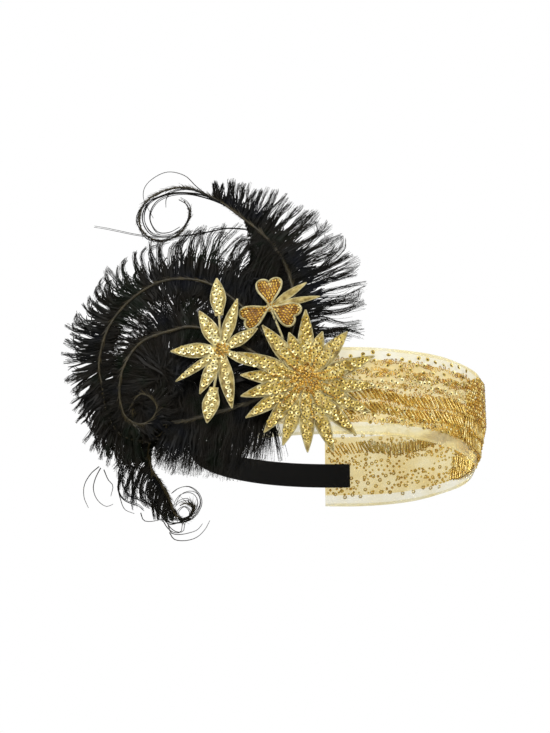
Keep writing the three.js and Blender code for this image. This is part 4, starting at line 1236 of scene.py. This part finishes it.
def make_clover():
    """Three hearts edged with cord and sewn with beads, two leaves and a stem."""
    radius = 19.0
    wide = 0.46
    clover = Flower(-42.7, 54.5, lambda x, z: MIDDLE_LAYER + QUILL_DIAMETER / 2 + GAP)
    outline = radius * bezier(
        (0.0, 0.0),
        ((0.3, -0.1), (0.55, -wide), (0.86, -0.9 * wide)),
        ((1.05, -0.8 * wide), (1.05, -0.2 * wide), (0.88, 0)),
        ((1.05, 0.2 * wide), (1.05, 0.8 * wide), (0.86, 0.9 * wide)),
        ((0.55, wide), (0.3, 0.1), (0, 0)),
    )[:-1]
    rings = [(1, 0), (1, 0.8), (0.9, 1.0), (0.6, 1.3), (0.3, 1.45), (0.02, 1.5)]
    for angle in (93, 206, 332):
        turn = math.radians(angle)
        spin = np.array([[math.cos(turn), math.sin(turn)], [-math.sin(turn), math.cos(turn)]])
        edge = outline @ spin + clover.centre
        middle = clover.around(0.6 * radius, turn)
        rows = [clover.lifted(middle + (edge - middle) * a, HEART_THICKNESS * b) for a, b in rings]
        clover.add(rows, grid_faces(len(rings), len(edge), closed=True), amber_cloth)
        cord = clover.lifted(np.vstack([edge, edge[:1]]), HEART_THICKNESS)
        clover.add(*tubes(cord[None], 0.75, 6), khaki_cord)
        spots = heart_beads(radius)
        along = turn + np.arctan2(spots[:, 1], spots[:, 0]) * 0.9
        places = clover.places(spots @ spin + clover.centre, HEART_THICKNESS * 1.42, along)
        clover.add(*copies(*bead_mesh(0.72, 1.35, 3, 7), places), amber_bead)
    for angle, reach, width in ((33, 1.43, 0.45), (9, 1.66, 0.4)):
        clover.petal(angle, 1.0, reach * radius, width * PETAL_HALF_WIDTH, columns=0)
    clover.stem(290, 1.26 * radius)
    clover.boss(HEART_THICKNESS + BOSS_RISE / 2, 0.16 * radius, 7, 0.6)
    made = clover.make("clover_blossom", "amber_beads")
    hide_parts("clover_flower")


make_net()
make_elastic()
make_felt()
net_bugles = make_bugles()
make_seed_beads()
make_sequins()
make_net_threads(net_bugles)
for plume_name, plume_shape in PLUMES.items():
    make_plume(plume_name, plume_shape)
make_strands()
make_star()
make_daisy()
make_clover()


# The floor, the light and the camera.

SPRAY_MIDDLE = (-0.03, -0.05, 0.03)
CAMERA_PLACE = (-0.03965, -1.21684, -0.45936)
CAMERA_TARGET = (-0.03965, -0.01580, 0.03813)
# Each lamp's place, size and power.
LAMPS = {
    "key": ((-0.6, -1.2, 0.9), 0.7, 14),
    "fill": ((1.0, -0.9, 0.1), 0.9, 9),
    "low": ((-0.2, -1.1, -1.0), 0.6, 9),
    "back": ((0.3, 1.2, 0.2), 0.9, 0.6),
}


def make_floor():
    mesh = bpy.data.meshes.new("floor")
    mesh.from_pydata([(-4, -4, -0.9), (4, -4, -0.9), (4, 4, -0.9), (-4, 4, -0.9)], [], [(0, 1, 2, 3)])
    floor = bpy.data.objects.new("floor", mesh)
    bpy.context.scene.collection.objects.link(floor)
    pale = material("pale_floor", (0.82, 0.82, 0.82), 0.8)
    tint(pale, texture(pale, "Noise", Scale=3.0), "Fac", [(0, (0.8, 0.8, 0.8)), (1, (0.86, 0.86, 0.86))])
    mesh.materials.append(pale)


def aimed(name, data, place, target):
    """A lamp or a camera that faces a target."""
    holder = bpy.data.objects.new(name, data)
    holder.location = place
    holder.rotation_euler = (Vector(target) - Vector(place)).to_track_quat("-Z", "Y").to_euler()
    bpy.context.scene.collection.objects.link(holder)
    return holder


def make_lamp(name, place, size, power):
    lamp = bpy.data.lights.new(name, "AREA")
    lamp.size = size
    lamp.energy = power
    aimed(name, lamp, place, SPRAY_MIDDLE)


def make_sky():
    """White where the camera sees it, and a soft studio that is darker behind the camera for the rest."""
    world = bpy.data.worlds.new("studio")
    bpy.context.scene.world = world
    world.use_nodes = True
    world.node_tree.nodes.clear()
    split = node(world, "SeparateXYZ")
    link(world, node(world, "TexCoord"), "Generated", split, "Vector")
    shade = node(world, "MapRange", From_Min=-1.0, From_Max=1.0, To_Min=0.12, To_Max=0.8)
    link(world, split, "Y", shade, "Value")
    around = node(world, "Background")
    link(world, shade, "Result", around, "Strength")
    seen = node(world, "Background", Color=(1, 1, 1, 1))
    mix = node(world, "MixShader")
    link(world, node(world, "LightPath"), "Is Camera Ray", mix, 0)
    link(world, around, "Background", mix, 1)
    link(world, seen, "Background", mix, 2)
    link(world, mix, "Shader", node(world, "OutputWorld"), "Surface")


def make_camera():
    data = bpy.data.cameras.new("camera")
    data.lens = 98.2
    data.clip_end = 20
    bpy.context.scene.camera = aimed("camera", data, CAMERA_PLACE, CAMERA_TARGET)


make_floor()
make_sky()
for lamp_name, lamp_shape in LAMPS.items():
    make_lamp(lamp_name, *lamp_shape)
make_camera()
bpy.context.scene.view_settings.view_transform = "Standard"
